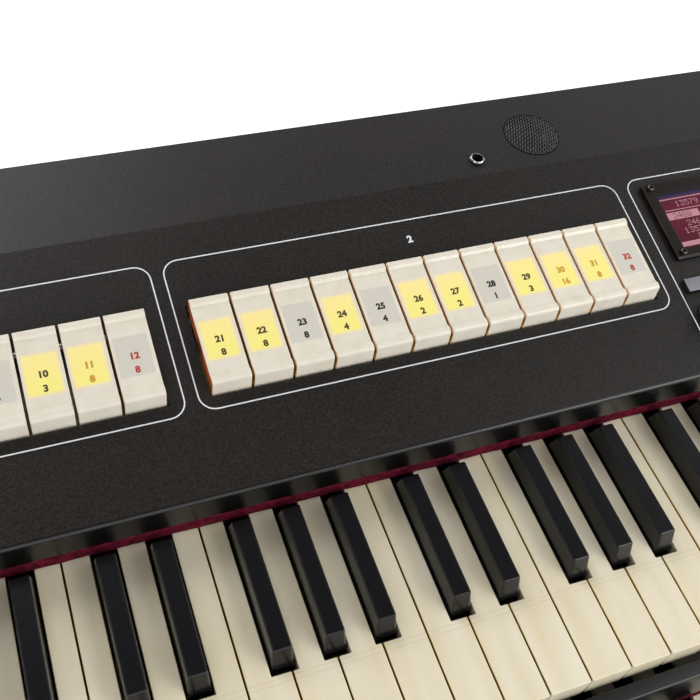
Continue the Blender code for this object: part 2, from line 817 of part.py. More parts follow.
def top_panel(panel_frame, deck_frame, finish):
    """The bent sheet with its apertures."""
    outline = [
        panel_point(SHEET_START),
        crease_point(0),
        deck_point(DECK_LENGTH),
        deck_point(DECK_LENGTH, -SHEET),
        crease_point(-SHEET),
        panel_point(SHEET_START, -SHEET),
    ]
    sheet = bmesh.new()
    add_prism(sheet, outline, -PANEL_HALF + FIT, PANEL_HALF - FIT)
    made = make("top_panel", sheet, finish)
    through = (-3 * SHEET, 2 * SHEET)
    holes = bmesh.new()
    for row in (ROW_PEDAL, ROW_I, ROW_II):
        span = grown((row.tab_left(0), row.right), FIT)
        add_panel_box(holes, span, grown((TAB_FRONT, TAB_FRONT + TAB_LENGTH), RUNNING_GAP), through)
    window_x, window_s = window_spans()
    add_panel_box(holes, grown(window_x, FIT), grown(window_s, FIT), through)
    for left in button_lefts():
        span = (left, left + BUTTON_WIDTH)
        length = (BUTTON_FRONT, BUTTON_FRONT + BUTTON_LENGTH)
        add_panel_box(holes, grown(span, FIT), grown(length, FIT), through)
    shaft_hole = rod((KNOB_SHAFT_RADIUS + FIT) / cos(pi / BORE_SEGMENTS), 5 * SHEET)
    add_turned(holes, shaft_hole, BORE_SEGMENTS, upright(*knob_place(), -3 * SHEET))
    screw_hole = rod((SCREW_SHANK_RADIUS + FIT) / cos(pi / BORE_SEGMENTS), 5 * SHEET)
    for x, s in screw_places():
        add_turned(holes, screw_hole, BORE_SEGMENTS, upright(x, s, -3 * SHEET))
    cut(made, "panel_apertures", holes, panel_frame)
    deck_holes = bmesh.new()
    grille_hole = rod((GRILLE_RADIUS + FIT) / cos(pi / GRILLE_SEGMENTS), 5 * SHEET)
    for x in (-GRILLE_X, GRILLE_X):
        add_turned(deck_holes, grille_hole, GRILLE_SEGMENTS, upright(x, GRILLE_PLACE, -3 * SHEET))
    barrel_hole = rod((SOCKET_BARREL_RADIUS + FIT) / cos(pi / BORE_SEGMENTS), 5 * SHEET)
    add_turned(deck_holes, barrel_hole, BORE_SEGMENTS, upright(SOCKET_X, SOCKET_PLACE, -3 * SHEET))
    cut(made, "deck_apertures", deck_holes, deck_frame)
    return made


def tab_outline():
    """A tab's side outline about its pivot: raised ridges at both ends and a snap slot for the rod."""
    pivot_s, pivot_h = TAB_PIVOT
    front = TAB_FRONT - pivot_s
    back = front + TAB_LENGTH
    ridge = TAB_HEIGHT - pivot_h
    face = ridge - TAB_DISH
    skirt = -TAB_SKIRT - pivot_h
    knee = front + TAB_KNEE_RUN
    ridge_end = knee + TAB_RIDGE_LENGTH
    lip = back - TAB_LIP_LENGTH
    shell = rounded(
        (
            (front, skirt, 0),
            (knee, ridge, TAB_RIDGE_RADIUS),
            (ridge_end, ridge, 0),
            (ridge_end + TAB_DISH_RUN, face, 0),
            (lip - TAB_LIP_RUN, face, 0),
            (lip, ridge, 0),
            (back, ridge, TAB_LIP_RADIUS),
            (back, skirt, 0),
        ),
        steps=2,
    )
    arc = 2 * pi - SNAP_MOUTH
    bore = (ROD_RADIUS + ROD_CLEARANCE) / cos(arc / SNAP_STEPS / 2)
    mouth = bore * sin(SNAP_MOUTH / 2)
    foot = -TAB_LUG_RADIUS
    lug = [(TAB_LUG_RADIUS, skirt), (TAB_LUG_RADIUS, foot), (mouth, foot)]
    for step in range(SNAP_STEPS + 1):
        angle = (SNAP_MOUTH - pi) / 2 + arc * step / SNAP_STEPS
        lug.append((bore * cos(angle), bore * sin(angle)))
    lug += [(-mouth, foot), (-TAB_LUG_RADIUS, foot), (-TAB_LUG_RADIUS, skirt)]
    return shell + lug


def tab_pocket():
    """The hollow under a tab's face, as s and h spans about its pivot."""
    pivot_s, pivot_h = TAB_PIVOT
    near = TAB_FRONT - pivot_s + TAB_KNEE_RUN + TAB_WALL
    far = -TAB_LUG_RADIUS - TAB_WALL
    top = TAB_HEIGHT - TAB_DISH - TAB_TOP_THICKNESS - pivot_h
    return (near, far), (-TAB_SKIRT - pivot_h - RUNNING_GAP, top)


def tab(name, row, index, panel_frame, finish):
    """One tilting tab, with its origin on its pivot."""
    left = row.tab_left(index) + TAB_GAP / 2
    width = TAB_PITCH - TAB_GAP
    place = (left, *TAB_PIVOT)
    body = bmesh.new()
    add_prism(body, tab_outline(), 0, width)
    made = make(name, body, finish, panel_frame, place)
    pocket = bmesh.new()
    s_span, h_span = tab_pocket()
    add_panel_box(pocket, (TAB_WALL, width - TAB_WALL), s_span, h_span)
    cut(made, name + "_pocket", pocket, panel_frame, place)
    return made


def tab_bank(name, row, count, panel_frame, finish):
    """A run of tabs that share the bar of their pivot lugs."""
    left = row.tab_left(0) + TAB_GAP / 2
    place = (left, *TAB_PIVOT)
    body = bmesh.new()
    add_prism(body, tab_outline(), 0, count * TAB_PITCH - TAB_GAP)
    made = make(name, body, finish, panel_frame, place)
    pivot_s, pivot_h = TAB_PIVOT
    slots = bmesh.new()
    low = -TAB_SKIRT - pivot_h - RUNNING_GAP / 2
    length = grown((TAB_FRONT - pivot_s, TAB_FRONT + TAB_LENGTH - pivot_s), RUNNING_GAP)
    for index in range(1, count):
        right = index * TAB_PITCH
        add_panel_box(slots, (right - TAB_GAP, right), length, (low, TAB_HEIGHT - pivot_h + RUNNING_GAP))
    cut(made, name + "_slots", slots, panel_frame, place)
    pockets = bmesh.new()
    s_span, h_span = tab_pocket()
    for index in range(count):
        start = index * TAB_PITCH
        span = (start + TAB_WALL, start + TAB_PITCH - TAB_GAP - TAB_WALL)
        add_panel_box(pockets, span, s_span, h_span)
    cut(made, name + "_pockets", pockets, panel_frame, place)
    return made


def tab_chassis(panel_frame, finish):
    """The channel under the panel, with a wall at each end of each row and a rod between."""
    near = TAB_FRONT - CHASSIS_MARGIN
    far = TAB_FRONT + TAB_LENGTH + CHASSIS_MARGIN
    top = -SHEET - FIT
    bottom = -CHASSIS_DEPTH - SHEET
    outline = (
        (near - CHASSIS_LIP, top),
        (near - CHASSIS_LIP, top - SHEET),
        (near - SHEET, top - SHEET),
        (near - SHEET, bottom),
        (far + SHEET, bottom),
        (far + SHEET, top - SHEET),
        (far + CHASSIS_LIP, top - SHEET),
        (far + CHASSIS_LIP, top),
        (far, top),
        (far, bottom + SHEET),
        (near, bottom + SHEET),
        (near, top),
    )
    wall_gap = RUNNING_GAP
    left = ROW_PEDAL.tab_left(0) - wall_gap - SHEET
    right = ROW_II.right + wall_gap + SHEET
    channel = bmesh.new()
    add_prism(channel, outline, left, right)
    made = make("tab_chassis", channel, finish, panel_frame)
    walls = bmesh.new()
    rods = bmesh.new()
    inner = grown((near, far), RUNNING_GAP)
    for row in (ROW_PEDAL, ROW_I, ROW_II):
        for start in (row.tab_left(0) - wall_gap - SHEET, row.right + wall_gap):
            span = (start, start + SHEET)
            add_panel_box(walls, span, inner, (bottom + RUNNING_GAP, top - SHEET / 2))
        start = row.tab_left(0) - wall_gap - SHEET / 2
        length = row.right - row.tab_left(0) + 2 * wall_gap + SHEET
        add_turned(rods, rod(ROD_RADIUS, length), BORE_SEGMENTS, along_x(start, *TAB_PIVOT))
    join(made, "tab_chassis_walls", walls, panel_frame)
    join(made, "tab_chassis_rods", rods, panel_frame)
    return made


def display_bezel(panel_frame, finish):
    """The plate round the display."""
    x_span, s_span = bezel_spans()
    body = bmesh.new()
    add_panel_box(body, x_span, s_span, (FIT, FIT + BEZEL_THICKNESS))
    made = make("display_bezel", body, finish, panel_frame)
    holes = bmesh.new()
    window_x, window_s = window_spans()
    add_panel_box(holes, grown(window_x, FIT), grown(window_s, FIT), (-SHEET, 3 * BEZEL_THICKNESS))
    profile = rod((SCREW_SHANK_RADIUS + FIT) / cos(pi / BORE_SEGMENTS), 4 * BEZEL_THICKNESS)
    for x, s in screw_places():
        add_turned(holes, profile, BORE_SEGMENTS, upright(x, s, -BEZEL_THICKNESS))
    cut(made, "display_bezel_holes", holes, panel_frame)
    return made


def display_module(panel_frame, finish):
    """The display: its glass in the bezel's window and its wider body under the sheet."""
    window_x, window_s = window_spans()
    face = FIT + BEZEL_THICKNESS - GLASS_SET
    body = bmesh.new()
    seat = -SHEET - FIT
    wide_s = (window_s[0] - MODULE_FLANGE, window_s[1] + MODULE_FLANGE)
    wide_x = (window_x[0] + FIT, window_x[1] - FIT)
    add_panel_box(body, wide_x, wide_s, (seat - MODULE_DEPTH, seat))
    made = make("display_module", body, finish, panel_frame)
    glass = bmesh.new()
    add_panel_box(glass, wide_x, window_s, (seat - RUNNING_GAP, face))
    join(made, "display_module_glass", glass, panel_frame)
    return made


def bezel_screw(name, x, s, panel_frame, finish):
    """A socket screw with a round head on the bezel."""
    seat = 2 * FIT + BEZEL_THICKNESS
    edge = SCREW_HEAD_HEIGHT / 3
    profile = (
        (0, -SCREW_LENGTH),
        (SCREW_SHANK_RADIUS, -SCREW_LENGTH),
        (SCREW_SHANK_RADIUS, 0),
        (SCREW_HEAD_RADIUS, 0),
        (SCREW_HEAD_RADIUS, SCREW_HEAD_HEIGHT - edge),
        (SCREW_HEAD_RADIUS - edge, SCREW_HEAD_HEIGHT),
        (0, SCREW_HEAD_HEIGHT),
    )
    body = bmesh.new()
    add_turned(body, profile, BORE_SEGMENTS)
    place = (x, s, seat)
    made = make(name, body, finish, panel_frame, place, smooth=True)
    socket = bmesh.new()
    hexagon = rod(SCREW_HEX_RADIUS, 2 * SCREW_HEX_DEPTH)
    floor = SCREW_HEAD_HEIGHT - SCREW_HEX_DEPTH
    add_turned(socket, hexagon, HEXAGON, upright(0, 0, floor))
    cut(made, name + "_socket", socket, panel_frame, place)
    return made


def menu_buttons(panel_frame, finish):
    """The row of keys under the display, on the carrier that holds them under the sheet."""
    lefts = button_lefts()
    seat = -SHEET - FIT
    margin = BUTTON_CARRIER_MARGIN
    s_span = (BUTTON_FRONT, BUTTON_FRONT + BUTTON_LENGTH)
    body = bmesh.new()
    x_span = grown((lefts[0], lefts[-1] + BUTTON_WIDTH), margin)
    add_panel_box(body, x_span, grown(s_span, margin), (seat - BUTTON_CARRIER_THICKNESS, seat))
    made = make("menu_buttons", body, finish, panel_frame)
    caps = bmesh.new()
    for left in lefts:
        add_panel_box(caps, (left, left + BUTTON_WIDTH), s_span, (seat - RUNNING_GAP, BUTTON_HEIGHT))
    join(made, "menu_buttons_caps", caps, panel_frame)
    return made


def volume_knob(panel_frame, finish):
    """The round knob with its skirt and shaft."""
    low = FIT
    edge = RUNNING_GAP
    profile = (
        (0, -KNOB_SHAFT_LENGTH),
        (KNOB_SHAFT_RADIUS, -KNOB_SHAFT_LENGTH),
        (KNOB_SHAFT_RADIUS, low),
        (KNOB_SKIRT_RADIUS, low),
        (KNOB_SKIRT_RADIUS, KNOB_SKIRT_HEIGHT - edge / 2),
        (KNOB_SKIRT_RADIUS - edge / 2, KNOB_SKIRT_HEIGHT),
        (KNOB_RADIUS, KNOB_SKIRT_HEIGHT + edge / 2),
        (KNOB_RADIUS - edge, KNOB_HEIGHT - edge),
        (KNOB_RADIUS - 2 * edge, KNOB_HEIGHT),
        (0, KNOB_HEIGHT),
    )
    body = bmesh.new()
    add_turned(body, profile, KNOB_SEGMENTS)
    x, s = knob_place()
    return make("volume_knob", body, finish, panel_frame, (x, s, 0), smooth=True)


def tweeter(name, x, deck_frame, finish):
    """A small loudspeaker under the deck: its flange under the sheet and its magnet below."""
    seat = -SHEET - FIT
    magnet = TWEETER_MAGNET_RADIUS
    profile = (
        (0, seat - TWEETER_FLANGE - TWEETER_MAGNET),
        (magnet, seat - TWEETER_FLANGE - TWEETER_MAGNET),
        (magnet, seat - TWEETER_FLANGE),
        (TWEETER_FLANGE_RADIUS, seat - TWEETER_FLANGE),
        (TWEETER_FLANGE_RADIUS, seat),
        (0, seat),
    )
    body = bmesh.new()
    add_turned(body, profile, GRILLE_SEGMENTS)
    return make(name, body, finish, deck_frame, (x, GRILLE_PLACE, 0), smooth=True)


def tweeter_grille(name, x, deck_frame, finish):
    """The domed shell that covers a tweeter, its rim standing on the tweeter's flange."""
    rim = GRILLE_RADIUS
    seat = -SHEET
    outer = []
    inner = []
    for step in range(GRILLE_STEPS + 1):
        share = step / GRILLE_STEPS
        height = GRILLE_DOME * cos(share * pi / 2)
        outer.append((rim * share, height))
        inner.append(((rim - GRILLE_SHELL) * share, height - GRILLE_SHELL))
    profile = outer + [(rim, seat), (rim - GRILLE_SHELL, seat)] + inner[::-1]
    body = bmesh.new()
    add_turned(body, profile, GRILLE_SEGMENTS)
    return make(name, body, finish, deck_frame, (x, GRILLE_PLACE, 0), smooth=True)


def accessory_socket(deck_frame, finish):
    """The ring socket on the deck, open from end to end."""
    ring = SOCKET_RING_RADIUS
    edge = SOCKET_RING_HEIGHT / 3
    bore = SOCKET_BORE_RADIUS / cos(pi / BORE_SEGMENTS)
    profile = (
        (bore, -SOCKET_BARREL_LENGTH),
        (SOCKET_BARREL_RADIUS, -SOCKET_BARREL_LENGTH),
        (SOCKET_BARREL_RADIUS, FIT),
        (ring, FIT),
        (ring, SOCKET_RING_HEIGHT - edge),
        (ring - edge, SOCKET_RING_HEIGHT),
        (bore, SOCKET_RING_HEIGHT),
    )
    body = bmesh.new()
    add_turned(body, profile, BORE_SEGMENTS)
    place = (SOCKET_X, SOCKET_PLACE, 0)
    return make("accessory_socket", body, finish, deck_frame, place, smooth=True)


def stepped_outline(front, bottom, back, rise):
    """The stepped profile beside the keys, up to the nosing's face."""
    edge = CASE_EDGE_RADIUS
    lower_top = LOWER_KEY_TOP + CHEEK_TOP + rise
    upper_top = UPPER_KEY_TOP + CHEEK_TOP + rise
    step_y = LOWER.felt_line - NOSING_SET - rise
    return [
        (back, bottom, 0),
        (front, bottom, 0),
        (front, lower_top, edge),
        (step_y, lower_top, 0),
        (step_y, upper_top, edge),
    ]


def cheek_block(name, low, high, finish):
    """The stepped block between the keys and an end panel."""
    front = LOWER.felt_line + SLIP_BACK + FIT
    back = NOSING_FACE - FIT
    corners = stepped_outline(front, BASE_TOP + FIT, back, 0.0)
    corners.append((back, UPPER_KEY_TOP + CHEEK_TOP, 0))
    body = bmesh.new()
    add_prism(body, rounded(corners), low, high)
    return make(name, body, finish)


def side_panel(name, low, high, finish):
    """An end panel, a little proud of the cheeks, the nosing and the sheet."""
    rise = SIDE_ABOVE_CHEEK
    corners = stepped_outline(CASE_FRONT, BASE_TOP + FIT, CASE_REAR, rise)
    nose = NOSING_FACE - rise
    corners += [
        (nose, UPPER_KEY_TOP + CHEEK_TOP + rise, 0),
        (nose, NOSING_EDGE + SIDE_PROUD, CASE_EDGE_RADIUS / 2),
        (*crease_point(SIDE_PROUD), 0),
        (CASE_REAR, deck_point(DECK_LENGTH, SIDE_PROUD)[1], CASE_EDGE_RADIUS / 2),
    ]
    body = bmesh.new()
    add_prism(body, rounded(corners), low, high)
    return make(name, body, finish)


def foot_strip(name, middle, finish):
    """A rubber strip under the base board."""
    half = FOOT_WIDTH / 2
    body = bmesh.new()
    low = (middle - half, CASE_FRONT + FOOT_INSET, 0)
    add_box(body, low, (middle + half, CASE_REAR - FOOT_INSET, FOOT_HEIGHT))
    return make(name, body, finish)


def base_board(finish):
    """The board that carries everything."""
    body = bmesh.new()
    low = (-CASE_HALF, CASE_FRONT, FOOT_HEIGHT + FIT)
    add_box(body, low, (CASE_HALF, CASE_REAR, BASE_TOP))
    return make("base_board", body, finish)


def rear_spans():
    """The rear panel's inner and outer faces."""
    outer = CASE_REAR - REAR_SET
    return outer - REAR_THICKNESS, outer


def jack_places():
    """The X of each line socket."""
    first = JACK_X - (JACK_COUNT - 1) * JACK_PITCH / 2
    return [first + index * JACK_PITCH for index in range(JACK_COUNT)]


def rear_panel(finish):
    """The back board, cut for the inlet and the row of line sockets."""
    inner, outer = rear_spans()
    slope = (CASE_REAR - inner) * tan(DECK_SLOPE)
    top = deck_point(DECK_LENGTH, -SHEET)[1] - slope - FIT
    body = bmesh.new()
    half = PANEL_HALF - FIT
    add_box(body, (-half, inner, BASE_TOP + FIT), (half, outer, top))
    made = make("rear_panel", body, finish)
    holes = bmesh.new()
    y_span = grown((inner, outer), RUNNING_GAP)
    height = BASE_TOP + INLET_HEIGHT
    half_wide = INLET_WIDTH / 2 + FIT
    half_tall = INLET_TALL / 2 + FIT
    low = (INLET_X - half_wide, y_span[0], height - half_tall)
    add_box(holes, low, (INLET_X + half_wide, y_span[1], height + half_tall))
    height = BASE_TOP + JACK_HEIGHT
    half_wide = JACK_COUNT * JACK_PITCH / 2 + FIT
    half_tall = JACK_BLOCK_TALL / 2 + FIT
    low = (JACK_X - half_wide, y_span[0], height - half_tall)
    add_box(holes, low, (JACK_X + half_wide, y_span[1], height + half_tall))
    cut(made, "rear_panel_holes", holes)
    return made


def rocker_place():
    """The power switch's pivot."""
    _, outer = rear_spans()
    x = INLET_X + INLET_WIDTH / 2 - ROCKER_WIDTH / 2 - 2 * FLANGE_MARGIN
    return x, outer - ROCKER_DEPTH / 2, BASE_TOP + INLET_HEIGHT


def mains_inlet(finish):
    """The inlet: its flange outside, its body through the rear panel, a recess and the rocker's frame."""
    _, outer = rear_spans()
    height = BASE_TOP + INLET_HEIGHT
    half_wide = INLET_WIDTH / 2
    half_tall = INLET_TALL / 2
    body = bmesh.new()
    low = (INLET_X - half_wide, outer - INLET_BODY_DEPTH, height - half_tall)
    add_box(body, low, (INLET_X + half_wide, outer + RUNNING_GAP, height + half_tall))
    made = make("mains_inlet", body, finish)
    flange = bmesh.new()
    margin = FLANGE_MARGIN
    low = (INLET_X - half_wide - margin, outer + FIT, height - half_tall - margin)
    high = (INLET_X + half_wide + margin, outer + FIT + FLANGE_THICKNESS, height + half_tall + margin)
    add_box(flange, low, high)
    join(made, "mains_inlet_flange", flange)
    face = outer + FIT + FLANGE_THICKNESS + RUNNING_GAP
    hollows = bmesh.new()
    left = INLET_X - half_wide + FLANGE_MARGIN
    low = (left, outer - RECESS_DEPTH, height - RECESS_TALL / 2)
    add_box(hollows, low, (left + RECESS_WIDTH, face, height + RECESS_TALL / 2))
    x, _, _ = rocker_place()
    half_x = ROCKER_WIDTH / 2 + FIT
    half_z = ROCKER_TALL / 2 + ROCKER_CLEARANCE
    low = (x - half_x, outer - RECESS_DEPTH, height - half_z)
    add_box(hollows, low, (x + half_x, face, height + half_z))
    cut(made, "mains_inlet_hollows", hollows)
    pins = bmesh.new()
    half_x = INLET_PIN_WIDTH / 2
    half_z = INLET_PIN_TALL / 2
    for place in (-1, 0, 1):
        middle = left + RECESS_WIDTH / 2 + place * INLET_PIN_PITCH
        centre = height + (INLET_PIN_RISE if place == 0 else -INLET_PIN_RISE)
        low = (middle - half_x, outer - RECESS_DEPTH - RUNNING_GAP, centre - half_z)
        add_box(pins, low, (middle + half_x, outer - FLANGE_MARGIN, centre + half_z))
    join(made, "mains_inlet_pins", pins)
    bores = bmesh.new()
    profile = rod((ROCKER_PIN_RADIUS + FIT) / cos(pi / BORE_SEGMENTS), ROCKER_WIDTH + 4 * RUNNING_GAP)
    start = x - ROCKER_WIDTH / 2 - 2 * RUNNING_GAP
    add_turned(bores, profile, BORE_SEGMENTS, along_x(start, *rocker_place()[1:]))
    cut(made, "mains_inlet_bores", bores)
    return made


def power_switch(finish):
    """The rocker, with its origin on its pivot and its on side pressed in."""
    half_tall = ROCKER_TALL / 2
    half_deep = ROCKER_DEPTH / 2
    lean = half_tall * tan(ROCKER_ANGLE)
    outline = (
        (-half_deep, ROCKER_TAPER - half_tall),
        (half_deep + lean, -half_tall),
        (half_deep, 0),
        (half_deep - lean, half_tall),
        (-half_deep, half_tall - ROCKER_TAPER),
    )
    body = bmesh.new()
    half = ROCKER_WIDTH / 2
    add_prism(body, outline, -half, half)
    made = make("power_switch", body, finish, location=rocker_place())
    pins = bmesh.new()
    profile = rod(ROCKER_PIN_RADIUS, ROCKER_WIDTH + 2 * RUNNING_GAP)
    add_turned(pins, profile, BORE_SEGMENTS, along_x(-half - RUNNING_GAP, 0, 0))
    join(made, "power_switch_pins", pins, location=rocker_place())
    return made


def main_board(finish):
    """The circuit board on its standoffs, with the block of line sockets at its back edge."""
    inner, outer = rear_spans()
    block_front = outer - JACK_BLOCK_DEPTH
    board_low = BASE_TOP + FIT + STANDOFF
    board_back = block_front + 2 * RUNNING_GAP
    board_front = board_back - BOARD_LENGTH
    left = JACK_X - BOARD_WIDTH / 2
    body = bmesh.new()
    low = (left, board_front, board_low)
    add_box(body, low, (left + BOARD_WIDTH, board_back, board_low + BOARD_THICKNESS))
    made = make("main_board", body, finish)
    posts = bmesh.new()
    for x in (left, left + BOARD_WIDTH - STANDOFF_SIZE):
        for y in (board_front, block_front - STANDOFF_SIZE):
            high = (x + STANDOFF_SIZE, y + STANDOFF_SIZE, board_low + BOARD_THICKNESS / 2)
            add_box(posts, (x, y, BASE_TOP + FIT), high)
    join(made, "main_board_posts", posts)
    block = bmesh.new()
    half_wide = JACK_COUNT * JACK_PITCH / 2
    height = BASE_TOP + JACK_HEIGHT
    low = (JACK_X - half_wide, block_front, height - JACK_BLOCK_TALL / 2)
    add_box(block, low, (JACK_X + half_wide, outer, height + JACK_BLOCK_TALL / 2))
    join(made, "main_board_block", block)
    riser = bmesh.new()
    low = (JACK_X - half_wide, block_front - RUNNING_GAP, board_low + BOARD_THICKNESS / 2)
    high = (JACK_X + half_wide, block_front + RUNNING_GAP / 2, height + JACK_BLOCK_TALL / 2 - RUNNING_GAP)
    add_box(riser, low, high)
    join(made, "main_board_riser", riser)
    parts = bmesh.new()
    chip_low = board_low + BOARD_THICKNESS / 2
    for x, y, wide, long, tall in BOARD_PARTS:
        corner = (left + x, board_front + y, chip_low)
        add_box(parts, corner, (corner[0] + wide, corner[1] + long, chip_low + tall))
    join(made, "main_board_parts", parts)
    bores = bmesh.new()
    profile = rod(JACK_BORE_RADIUS / cos(pi / BORE_SEGMENTS), JACK_BORE_DEPTH + RUNNING_GAP)
    for x in jack_places():
        add_turned(bores, profile, BORE_SEGMENTS, along_y(x, outer - JACK_BORE_DEPTH, height))
    cut(made, "main_board_bores", bores)
    return made


def support_rail_back():
    """The rear face of the upper keybed and of the rail that carries it."""
    return UPPER.place(COMBS[-1].bar_front + BAR_LENGTH + KEYBED_BACK_EXTRA, 0)[0]


def power_supply(finish):
    """The boxed power supply behind the inlet."""
    _, outer = rear_spans()
    back = outer - INLET_BODY_DEPTH - SUPPLY_BACK_GAP
    half = SUPPLY_WIDTH / 2
    body = bmesh.new()
    low = (INLET_X - half, support_rail_back() + SUPPLY_RAIL_GAP, BASE_TOP + FIT)
    add_box(body, low, (INLET_X + half, back, BASE_TOP + FIT + SUPPLY_TALL))
    return make("power_supply", body, finish)


def manual_support_rail(finish):
    """The cross rail that carries the back of the upper keybed."""
    back = support_rail_back()
    top = UPPER_KEY_TOP - KEYBED_DROP - KEYBED_THICKNESS - FIT
    half = KEYBOARD_HALF - NATURAL_GAP / 2
    body = bmesh.new()
    add_box(body, (-half, back - SIDE_THICKNESS, BASE_TOP + FIT), (half, back, top))
    return make("manual_support_rail", body, finish)


def build_manual(manual, finishes):
    """A keyboard with its felt, its rail and its thumb pistons."""
    keybed(manual, finishes["board"])
    for comb in COMBS:
        key_comb(comb, manual, finishes["ivory" if comb.letters else "ebony"])
    felt_strip(manual, finishes["felt"])


def build_controls(panel_frame, finishes):
    """The tabs, the display and its controls."""
    tab_chassis(panel_frame, finishes["steel"])
    for index in range(MANUAL_TABS):
        tab(f"tab_ii_{index + 1:02d}", ROW_II, index, panel_frame, finishes["tab"])
    banked = MANUAL_TABS - SINGLE_TABS_I
    tab_bank("tab_bank_i", ROW_I, banked, panel_frame, finishes["tab"])
    for index in range(banked, MANUAL_TABS):
        tab(f"tab_i_{index + 1:02d}", ROW_I, index, panel_frame, finishes["tab"])
    tab_bank("tab_bank_pedal", ROW_PEDAL, PEDAL_TABS, panel_frame, finishes["tab"])
    display_bezel(panel_frame, finishes["gloss"])
    display_module(panel_frame, finishes["glass"])
    for number, (x, s) in enumerate(screw_places(), start=1):
        bezel_screw(f"bezel_screw_{number}", x, s, panel_frame, finishes["steel"])
    menu_buttons(panel_frame, finishes["silver"])
    volume_knob(panel_frame, finishes["knob"])


def build_case(finishes):
    """The board, the ends, the cheeks and the rails."""
    base_board(finishes["case"])
    panel_nosing(finishes["gloss"])
    rear_panel(finishes["case"])
    rail_bottom = FELT_TOP - MANUAL_STEP_HEIGHT
    rail_half = KEYBOARD_HALF - NATURAL_GAP / 2
    bored_rail("piston_rail", UPPER, rail_half, RAIL_THICKNESS, rail_bottom, finishes["gloss"])
    slip_bottom = -KEYBED_DROP - KEYBED_THICKNESS
    bored_rail("key_slip", LOWER, PANEL_HALF - FIT, SLIP_THICKNESS, slip_bottom, finishes["case"])
    thumb_pistons(UPPER, RAIL_THICKNESS, finishes["ivory"])
    thumb_pistons(LOWER, SLIP_THICKNESS, finishes["ivory"])
    manual_support_rail(finishes["board"])
    for side, sign in (("left", -1), ("right", 1)):
        inner = sorted((sign * (KEYBOARD_HALF + FIT), sign * (PANEL_HALF - FIT)))
        cheek_block(f"cheek_block_{side}", *inner, finishes["gloss"])
        outer = sorted((sign * PANEL_HALF, sign * CASE_HALF))
        side_panel(f"side_panel_{side}", *outer, finishes["case"])
        foot_strip(f"foot_strip_{side}", sign * (CASE_HALF - FOOT_INSET - FOOT_WIDTH), finishes["rubber"])


def build_deck(deck_frame, finishes):
    """The loudspeakers, their grilles and the ring socket."""
    for side, x in (("left", -GRILLE_X), ("right", GRILLE_X)):
        tweeter(f"tweeter_{side}", x, deck_frame, finishes["knob"])
        tweeter_grille(f"tweeter_grille_{side}", x, deck_frame, finishes["grille"])
    accessory_socket(deck_frame, finishes["chrome"])


def build_electrics(finishes):
    """The inlet, the switch, the supply and the main board."""
    mains_inlet(finishes["knob"])
    power_switch(finishes["gloss"])
    main_board(finishes["circuit"])
    power_supply(finishes["steel"])


def main():
    """Builds the console."""
    clear_scene()
    finishes = {
        "case": material("matt black board", "#2b2b2d", 0.6),
        "panel": material("textured charcoal sheet", "#3a3a3d", 0.55),
        "gloss": material("gloss black", "#0c0c0d", 0.12),
        "felt": material("burgundy felt", "#6a0f22", 0.95),
        "ivory": material("ivory key", "#e3dac0", 0.35),
        "ebony": material("black key", "#17171a", 0.25),
        "tab": material("ivory tab", "#e6dfcf", 0.4),
        "board": material("bare board", "#b79a6c", 0.8),
        "steel": material("zinc steel", "#a9abae", 0.35, 1.0),
        "chrome": material("chrome", "#d5d7da", 0.12, 1.0),
        "silver": material("silver button", "#8f9297", 0.4, 0.5),
        "glass": material("display glass", "#5a1c2c", 0.15),
        "knob": material("black plastic", "#161617", 0.45),
        "grille": material("black mesh", "#222224", 0.5, 0.6),
        "rubber": material("rubber", "#141414", 0.9),
        "circuit": material("circuit board", "#1f5a38", 0.5),
    }
    panel_frame = frame_empty("tab_panel_frame", (0, NOSING_FACE, NOSING_EDGE), PANEL_SLOPE)
    deck_frame = frame_empty("deck_frame", (0, CREASE_Y, CREASE_Z), DECK_SLOPE)
    build_case(finishes)
    top_panel(panel_frame, deck_frame, finishes["panel"])
    for manual in (UPPER, LOWER):
        build_manual(manual, finishes)
    build_controls(panel_frame, finishes)
    build_deck(deck_frame, finishes)
    build_electrics(finishes)


main()
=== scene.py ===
"""Looks of a two-manual electronic organ console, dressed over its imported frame, in metres.

+X runs to the player's right, -Y towards the player and +Z up. The tab panel and the rear deck are
sloped planes with frames of their own: x along the console, s up the slope and h out of the plane.
Each manual has a frame too: y from the felt above its keys and z from the top of its naturals.
"""
from __future__ import annotations

import json
import logging
import math
from dataclasses import dataclass, field
from enum import Enum
from typing import Any, Iterable, Sequence

import bmesh
import bpy
import numpy as np
from mathutils import Matrix, Vector

